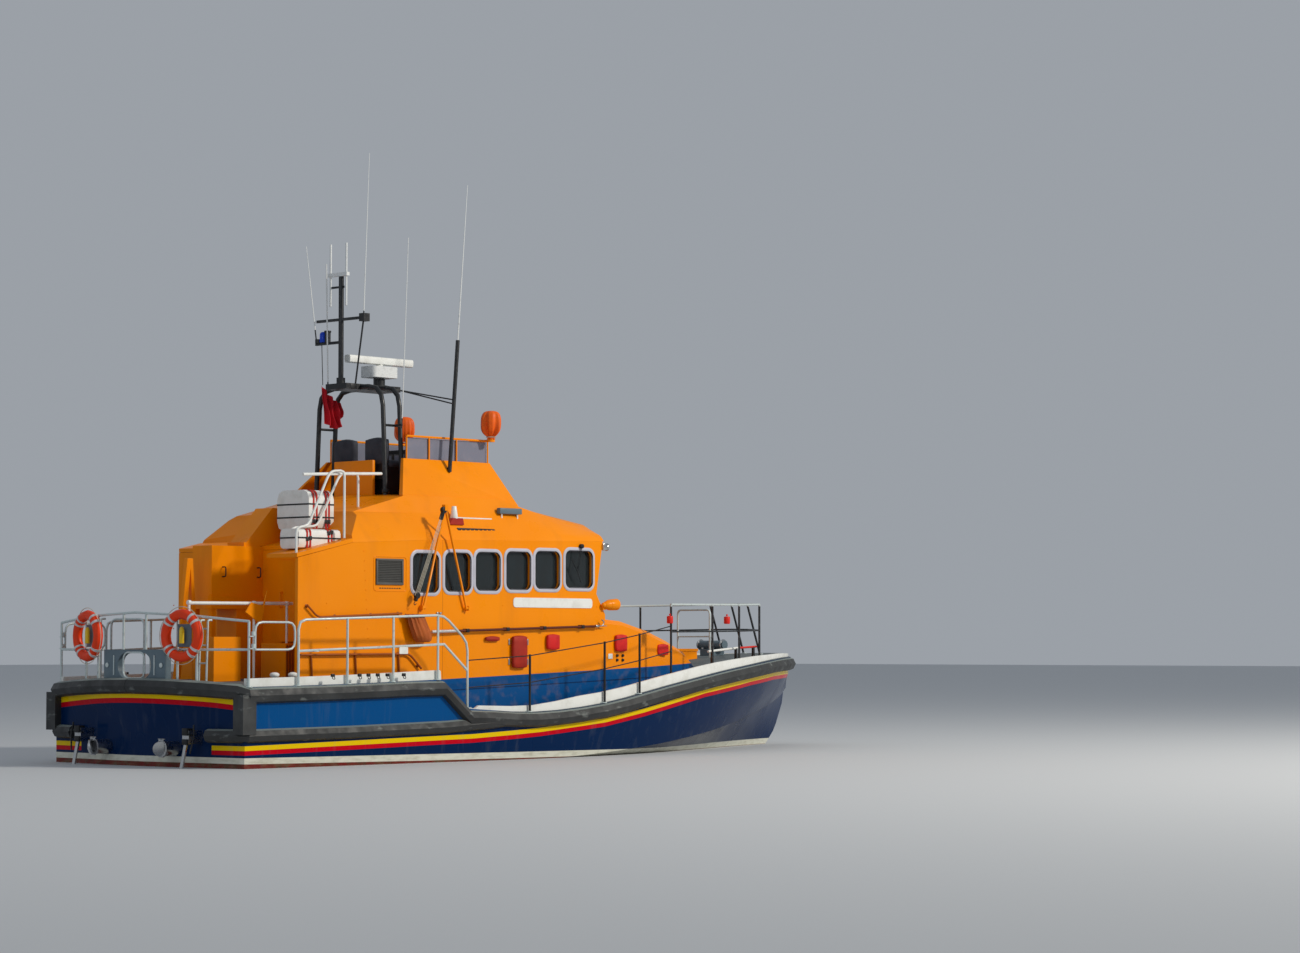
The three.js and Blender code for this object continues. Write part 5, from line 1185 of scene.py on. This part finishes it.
for _, side in SIDES:
    inner, outer = sorted((side * 0.13, side * 0.56))
    cushion(bridge_cushions, (-2.87, inner, 4.4), (-2.47, outer, 4.47))
    cushion(bridge_cushions, (-2.96, inner + 0.01, 4.45), (-2.88, outer - 0.01, 4.8))
for x, y in [(x, side * y) for x, y in CABIN_SEATS for _, side in SIDES]:
    cushion(cabin_cushions, (x - 0.23, y - 0.23, 1.695), (x + 0.23, y + 0.23, 1.82))
    cushion(cabin_cushions, (x - 0.26, y - 0.22, 1.84), (x - 0.15, y + 0.22, 2.56))
for name, cushions in (("bridge_cushions", bridge_cushions), ("cabin_cushions", cabin_cushions)):
    add(name, cushions, seat_dark, crease=SOFT_CREASE)

# %% Bridge console, wheel and aft wall
WHEEL_HUB, WHEEL_REACH, WHEEL_RISE = (-2.17, 0, 4.24), (0, 0.19, 0), (0.02, 0, 0.19)
console, wheel, screens, aft_wall, inside = (bmesh.new() for _ in range(5))
for y in (-0.27, 0.02, 0.31):
    block(screens, (-2.112, y - 0.11, 4.44), (-2.098, y + 0.11, 4.62))
    block(console, (-2.107, y - 0.13, 4.42), (-2.099, y + 0.13, 4.64), 0.003)
for y in (-0.4 + i * 0.16 for i in range(6)):
    drum(console, (-2.1, y, 4.37), (-2.12, y, 4.37), 0.016, 10, edge=0.003)
bar(wheel, round_points(WHEEL_HUB, WHEEL_REACH, WHEEL_RISE, 28), 0.022, sides=8, closed=True)
for a in (0.52, 2.62, 4.71):
    across = Vector(WHEEL_REACH) * math.cos(a) + Vector(WHEEL_RISE) * math.sin(a)
    bar(wheel, [WHEEL_HUB, Vector(WHEEL_HUB) + across], 0.016, sides=8)
drum(wheel, (-2.19, 0, 4.24), (-2.09, 0, 4.24), 0.03, 14, edge=0.004)
for y in (0.38, 0.43):
    bar(wheel, [(-2.09, y, 4.28), (-2.17, y, 4.36)], 0.014, sides=8)
    ball(wheel, (-2.175, y, 4.365), (0.018, 0.018, 0.018), 6, 10)
block(aft_wall, (-3.09, -0.43, 3.86), (-3.035, 0.43, 4.49), 0.012)
for y in (-0.9, -0.3, 0.3, 0.9):
    block(inside, (0.02, y - 0.19, 2.31), (0.05, y + 0.19, 2.52), 0.008)
drum(inside, (-0.28, -0.62, 2.18), (-0.2, -0.62, 2.24), 0.03, 12)
cabin_wheel = round_points((-0.3, -0.62, 2.17), (0, 0.18, 0), (0.03, 0, 0.17), 24)
bar(inside, cabin_wheel, 0.022, sides=8, closed=True)
add("bridge_screens", screens, screen_coat)
add("bridge_controls", console, grille_grey)
add("bridge_wheel", wheel, black_coat)
add("bridge_aft_wall", aft_wall, orange_coat)
add("cabin_screens_and_wheel", inside, black_rubber)

# %% Searchlight covers
# Columns: height above the foot, radius before the slack is taken in, depth of the folds
LIGHT_ROWS = [
    (0.0, 0.07, 0.12), (0.03, 0.058, 0.2), (0.065, 0.088, 0.4), (0.11, 0.124, 0.38),
    (0.17, 0.15, 0.28), (0.25, 0.16, 0.18), (0.33, 0.158, 0.14), (0.39, 0.138, 0.1),
    (0.425, 0.1, 0.06), (0.438, 0.05, 0.02),
]
LIGHT_SLACK = 0.97
LIGHT_FOLDS, LIGHT_SEED, LIGHT_SPOKES = 7, 3, 72
TIE_HIGH, TIE_RADIUS = 0.032, 0.074
for name, side in SIDES:
    body = f"searchlight_{name}"
    cover, tie = bmesh.new(), bmesh.new()
    x, y, z = -1.11, side * 0.97, 4.87
    rows = [
        ((x, y, z + high), r * LIGHT_SLACK, r * LIGHT_SLACK, fold) for high, r, fold in LIGHT_ROWS
    ]
    gathered(cover, eased_rows(rows), LIGHT_FOLDS, LIGHT_SEED + side, LIGHT_SPOKES)
    piece = add(f"searchlight_cover_{name}", cover, canvas_cloth, body, 75)
    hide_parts(body)
    loop = round_points((x, y, z + TIE_HIGH), (TIE_RADIUS, 0, 0), (0, TIE_RADIUS, 0), 20)
    bar(tie, loop, 0.012, sides=8, closed=True)
    add(f"searchlight_tie_{name}", tie, rope_pale, body)

# %% [markdown]
# ## Mast head and flag
# The flag hangs from its halyard in soft folds. It is one sheet: a grid whose columns zigzag across
# the wind while the rows droop. The folds take up about a quarter of the flat cloth.

# %% Flag
FLAG_X, FLAG_Y = -3.43, 0.33
FLAG_TOP, FLAG_FOOT = 5.635, 5.08
FLAG_FOLDS, FLAG_SWING = 3.5, 0.092  # how many folds, and how far they reach to each side
flag_mesh = bmesh.new()
bmesh.ops.create_grid(flag_mesh, x_segments=72, y_segments=36, size=0.5)
for vert in flag_mesh.verts:
    u, v = vert.co.x + 0.5, vert.co.y + 0.5  # along the fly, up the hoist
    top = FLAG_TOP - 0.25 * u**1.1 - 0.06 * math.sin(u * math.pi)
    foot = FLAG_FOOT - 0.1 * math.sin(u * math.pi * 0.8) + 0.16 * u**6
    swing = FLAG_SWING * u**0.3 * (1 - 0.35 * v)
    fold = math.sin(FLAG_FOLDS * 2 * math.pi * u + 0.9 * v) + 0.25 * math.sin(9 * u + 7 * v)
    lean = (1 - v) * 0.05
    x = FLAG_X + lean + u * (0.4 - 0.05 * v) + 0.012 * math.sin(6 * v + 4 * u)
    y = FLAG_Y + swing * fold * 0.8
    vert.co = Vector((x, y, foot + (top - foot) * v))
flag_piece = add("flag_cloth", flag_mesh, flag_cloth, crease=180)
print("flag area", round(sum(face.area for face in flag_piece.data.polygons), 3))
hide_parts("flag")

# %% Lamps and small fittings aloft
LAMP_SPOT = (-3.35, 0.395, 6.43)
blue, aloft = bmesh.new(), bmesh.new()
drum(blue, (-3.35, 0.395, 6.295), LAMP_SPOT, 0.06, 20, 0.056, 0.006)
ball(blue, LAMP_SPOT, (0.054, 0.054, 0.03))
drum(aloft, (-3.35, 0.3, 6.44), (-3.35, 0.3, 6.47), 0.054, 16, edge=0.006)
for x in (-3.14, -2.8):
    for _, side in SIDES:
        drum(aloft, (x, side * 0.779, 3.98), (x, side * 0.777, 4.03), 0.058, 14, edge=0.006)
for x in (-3.36, -3.0, -2.6):
    block(aloft, (x, -0.236, 5.56), (x + 0.12, -0.226, 5.64), 0.003)
add("blue_lamp", blue, lamp_blue)
add("aloft_fittings", aloft, black_coat)

# %% [markdown]
# ## Stern
# Two lifebuoys hang outside the rail with silver bands, a grab line, a holder plate and a light. A
# spar lies fore and aft over the boarding step, short ladder posts stand at the rail, and mushroom
# bollards stand at the quarters.

# %% Lifebuoys
BUOY_X, BUOY_OUT, BUOY_Z = -7.263, 1.05, 1.835
BUOY_RING, BUOY_TUBE = 0.3, 0.072
BUOY_TURN = 0.155  # how far each buoy is turned towards its own side
LINE_THICK, LINE_POINTS, LINE_STEP = 0.01, 73, 4.98  # metres, points, degrees
LINE_SLACK = 0.024
LINE_REACH = BUOY_RING + BUOY_TUBE + 0.006
FIRST_BAND = math.radians(45)
UP = Vector((0, 0, 1))
tapes, holders, lights = bmesh.new(), bmesh.new(), bmesh.new()


def around(centre, across, angle, reach):
    """A point on a buoy's circle."""
    return centre + (across * math.cos(angle) + UP * math.sin(angle)) * reach


for name, side in SIDES:
    centre = Vector((BUOY_X, side * BUOY_OUT, BUOY_Z))
    axis = Vector((math.cos(BUOY_TURN), -side * math.sin(BUOY_TURN), 0))
    across = Vector((side * math.sin(BUOY_TURN), math.cos(BUOY_TURN), 0))
    for middle in (FIRST_BAND + quarter * math.pi / 2 for quarter in range(4)):
        for shift in (-9, 9):
            steps = (middle + math.radians(shift - 3.2 + 1.6 * i) for i in range(5))
            arc = [around(centre, across, a, BUOY_RING) for a in steps]
            bar(tapes, arc, 2 * BUOY_TUBE + 0.007, sides=24)
    path = []
    for i in range(LINE_POINTS):
        a = FIRST_BAND + math.radians(LINE_STEP * i)
        sag = abs(math.sin(2 * (a - FIRST_BAND))) ** 0.7
        hang = LINE_SLACK * sag
        path.append(around(centre, across, a, LINE_REACH + hang) - axis * (hang / 2))
    line = bmesh.new()
    bar(line, path, LINE_THICK, sides=8)
    rope = add(f"buoy_line_{name}", line, rope_pale)
    turn = Matrix.Rotation(-side * BUOY_TURN, 4, "Z")
    plate_middle, plate_half = centre + axis * 0.055, Vector((0.004, 0.13, 0.16))
    block(holders, plate_middle - plate_half, plate_middle + plate_half, 0.003, turn)
    for hook in (centre - UP * 0.22, centre + UP * 0.22):
        bar(holders, [hook + axis * 0.07, hook - axis * 0.05 + UP * 0.03], 0.016, sides=8)
    lamp = centre - axis * 0.005
    drum(lights, lamp - UP * 0.11, lamp + UP * 0.08, 0.036, 16, edge=0.006)
    ball(lights, lamp + UP * 0.085, (0.032, 0.032, 0.04))
add("buoy_tapes", tapes, silver_tape, crease=50)
add("buoy_holders", holders, panel_coat)
add("buoy_lights", lights, yellow_coat)

# %% Spar, ladder posts, hoops and bollards
SPAR_Y, SPAR_Z = -1.05, 2.3
LADDER_Y = (-1.13, -1.29)
BOLLARD_Y = -1.9
BOARD = [(-6.16, 2.17), (-6.05, 2.31), (-5.83, 2.26), (-5.75, 2.49), (-5.86, 1.99)]
HOOP = [(-6.5, 1.48, 1.15), (-6.5, 1.48, 2.08), (-6.5, 0.72, 2.08), (-6.5, 0.72, 1.17)]
HOOK_POST = [(-6.5, 1.72, 1.13), (-6.5, 1.72, 2.09), (-6.42, 1.72, 2.09)]
spar, board, posts, bollards = bmesh.new(), bmesh.new(), bmesh.new(), bmesh.new()
bar(spar, [(-7.15, SPAR_Y, SPAR_Z - 0.01), (-5.23, SPAR_Y, SPAR_Z)], 0.048, sides=16)
for x, foot in ((-7.14, 2.12), (-5.95, 1.2), (-5.33, 1.72)):
    drum(spar, (x, SPAR_Y, foot), (x, SPAR_Y, SPAR_Z - 0.015), 0.019, 12)
    ring = (x - 0.025, SPAR_Y, SPAR_Z - 0.004), (x + 0.025, SPAR_Y, SPAR_Z - 0.004)
    drum(spar, *ring, 0.034, 16, edge=0.004)
drum(spar, (-5.95, SPAR_Y, 1.19), (-5.95, SPAR_Y, 1.205), 0.055, 14, edge=0.003)
plate(board, on_side(BOARD, 1.09), (0, -0.022, 0), 0.005)
for y in LADDER_Y:
    post = [(-7.02, y, 1.19), (-7.0, y, 1.95), (-7.0, y, 2.05), (-6.93, y, 2.05)]
    bar(posts, round_path(post, 0.06), 0.03, sides=12)
for z in (1.45, 1.7, 1.93):
    bar(posts, [(-7.01, y, z) for y in LADDER_Y], 0.022, sides=10)
bar(posts, round_path(HOOP, 0.12, 6), 0.034, sides=12)
bar(posts, round_path(HOOK_POST, 0.06), 0.03, sides=12)
for x in (-6.3, -5.96):
    drum(bollards, (x, BOLLARD_Y, 1.1), (x, BOLLARD_Y, 1.27), 0.048, 18, 0.04)
    drum(bollards, (x, BOLLARD_Y, 1.26), (x, BOLLARD_Y, 1.29), 0.06, 20, 0.07, 0.008)
    ball(bollards, (x, BOLLARD_Y, 1.29), (0.069, 0.069, 0.035), 8, 20)
both_sides(bollards)
add("deck_spar", spar, white_coat)
add("spar_board", board, orange_coat)
add("ladder_posts", posts, rail_coat)
add("bollards", bollards, white_coat)

# %% Fairlead rim, exhaust flaps, ram brackets, shackles and step slats
SHACKLE_OUT = 2.312
rim, flaps, brackets, shackles, slats = (bmesh.new() for _ in range(5))
outline = round_outline((-0.235, 0.235), (1.235, 1.6), 0.1, 5)
bar(rim, [(-7.262, y, z) for y, z in outline], 0.026, sides=10, closed=True)
for _, side in SIDES:
    bar(rim, [(-7.264, side * 0.45, 1.28), (-7.264, side * 0.45, 1.56)], 0.02, sides=8)
    drum(rim, (-7.262, side * 0.6, 1.42), (-7.272, side * 0.6, 1.42), 0.035, 14, edge=0.003)
drum(flaps, (-7.392, -0.76, 0.262), (-7.408, -0.78, 0.256), 0.108, 24, edge=0.003)
for y in (-0.8, -0.72):
    bar(flaps, [(-7.375, y, 0.385), (-7.4, y, 0.345)], 0.02, sides=8)
bar(flaps, [(-7.372, -0.83, 0.392), (-7.372, -0.69, 0.392)], 0.018, sides=8)
for z, high in ((0.5, 0.05), (0.36, 0.04)):
    block(brackets, (-7.335, -1.255, z - high), (-7.22, -1.145, z + high), 0.006)
drum(brackets, (-7.285, -1.28, 0.455), (-7.285, -1.12, 0.455), 0.016, 12)
bar(brackets, [(-7.28, -1.34, 0.6), (-7.3, -1.36, 0.42), (-7.33, -1.32, 0.2)], 0.024, sides=8)
for x in (-5.56, -5.05, -4.88, -4.7, -4.51, -4.19):
    top, foot = [(x - 0.02, -2.295, 1.27)], [(x + 0.02, -2.295, 1.27)]
    bend = on_side([(x - 0.024, 1.225), (x + 0.024, 1.225)], SHACKLE_OUT)
    bar(shackles, round_path(top + bend + foot, 0.016, 3), 0.012, sides=6)
    block(shackles, (x - 0.03, -2.306, 1.255), (x + 0.03, -2.272, 1.3), 0.008)
for bm in (flaps, brackets, shackles):
    both_sides(bm)
for x in (-5.49 + i * 0.052 for i in range(7)):
    block(slats, (x, -1.232, 1.24), (x + 0.032, -1.219, 1.7), 0.003)
add("fairlead_rim", rim, rail_coat)
add("exhaust_flaps", flaps, steel_coat)
add("ram_brackets", brackets, black_coat)
add("toe_shackles", shackles, black_coat)
add("step_slats", slats, shaded_grab_coat)

# %% [markdown]
# ## Feet of the rail posts
# Each post of the rails ends in a flat face on the deck. Those faces are found in the frame's own
# meshes by their direction, and each one gets a bolted flange.

# %% Post flanges
FLANGE, FLANGE_THICK = 0.052, 0.009
BOLT_CIRCLE = 0.036
FACES_DOWN, DECK_TOP = -0.965, 1.62
SAME_FOOT = 0.1
flanges = bmesh.new()
rails = [f"{rail}_rail_{side}" for rail in ("side", "guard") for side, _ in SIDES]
for name in ["stern_rail", *rails, "pulpit"]:
    feet = []
    for face in nodes[name].data.polygons:
        spot = nodes[name].matrix_world @ face.center
        if face.normal.z < FACES_DOWN and spot.z < DECK_TOP:
            if all((spot - foot).length > SAME_FOOT for foot in feet):
                feet.append(spot)
    for foot in feet:
        drum(flanges, foot - UP * 0.004, foot + UP * FLANGE_THICK, FLANGE, 16, edge=0.002)
        for a in (math.radians(45 + 90 * i) for i in range(4)):
            reach = Vector((math.cos(a), math.sin(a), 0)) * BOLT_CIRCLE
            drum(flanges, foot + reach + UP * 0.008, foot + reach + UP * 0.016, 0.007, 6)
    print(name, len(feet), "feet")
add("post_flanges", flanges, rail_coat)

# %% [markdown]
# ## Foredeck
# Red floats are lashed to two of the guard posts, a grey hoop stands behind the windlass, and two
# spars lie in chocks along the starboard side. The windlass gets end plates, bolts and a lever.

# %% Foredeck gear
FLOAT_OUT = -2.075
HOOP_X, HOOP_HALF, HOOP_TOP, HOOP_FOOT = 4.72, 0.36, 2.3, 1.47
WINCH_X = 5.19
floats, fore_hoop, spars_white, spars_red, chocks, winch = (bmesh.new() for _ in range(6))
for x in (1.79, 3.17):
    drum(floats, (x, FLOAT_OUT, 2.045), (x, FLOAT_OUT, 2.165), 0.05, 18, edge=0.014)
    drum(floats, (x, FLOAT_OUT, 2.17), (x, FLOAT_OUT, 2.2), 0.014, 8)
corners = ((-1, HOOP_FOOT), (-1, HOOP_TOP), (1, HOOP_TOP), (1, HOOP_FOOT))
hoop = [(HOOP_X, side * HOOP_HALF, z) for side, z in corners]
bar(fore_hoop, round_path(hoop, 0.08, 5), 0.036, sides=12)
bar(fore_hoop, [(HOOP_X, -HOOP_HALF, 1.85), (HOOP_X, HOOP_HALF, 1.85)], 0.026, sides=10)
bar(spars_white, [(3.25, -1.6, 1.6), (4.13, -1.5, 1.66)], 0.04, sides=12)
bar(spars_red, [(4.05, -1.5, 1.655), (4.87, -1.25, 1.68)], 0.034, sides=12)
for x, y, z in ((3.35, -1.6, 1.6), (4.05, -1.51, 1.655), (4.75, -1.29, 1.675)):
    block(chocks, (x - 0.02, y - 0.02, 1.36), (x + 0.02, y + 0.02, z))
for _, side in SIDES:
    end = side * 0.24
    drum(winch, (WINCH_X, end, 1.71), (WINCH_X, end + side * 0.02, 1.71), 0.095, 18, edge=0.006)
    for x in (5.08, 5.3):
        drum(winch, (x, side * 0.12, 1.64), (x, side * 0.12, 1.665), 0.018, 6)
lever = [(WINCH_X, -0.03, 1.77), (5.16, -0.03, 1.82), (5.08, -0.03, 1.84)]
bar(winch, round_path(lever, 0.03), 0.018, sides=8)
add("pulpit_floats", floats, float_red)
add("fore_hoop", fore_hoop, rail_coat)
add("spar_white", spars_white, white_coat)
add("spar_red", spars_red, float_red)
add("spar_chocks", chocks, black_coat)
add("windlass_fittings", winch, steel_coat)

# %% Sizes and finish
face_count = sum(len(piece.data.polygons) for piece in made_pieces)
print("new pieces:", len(made_pieces), "with", face_count, "faces")
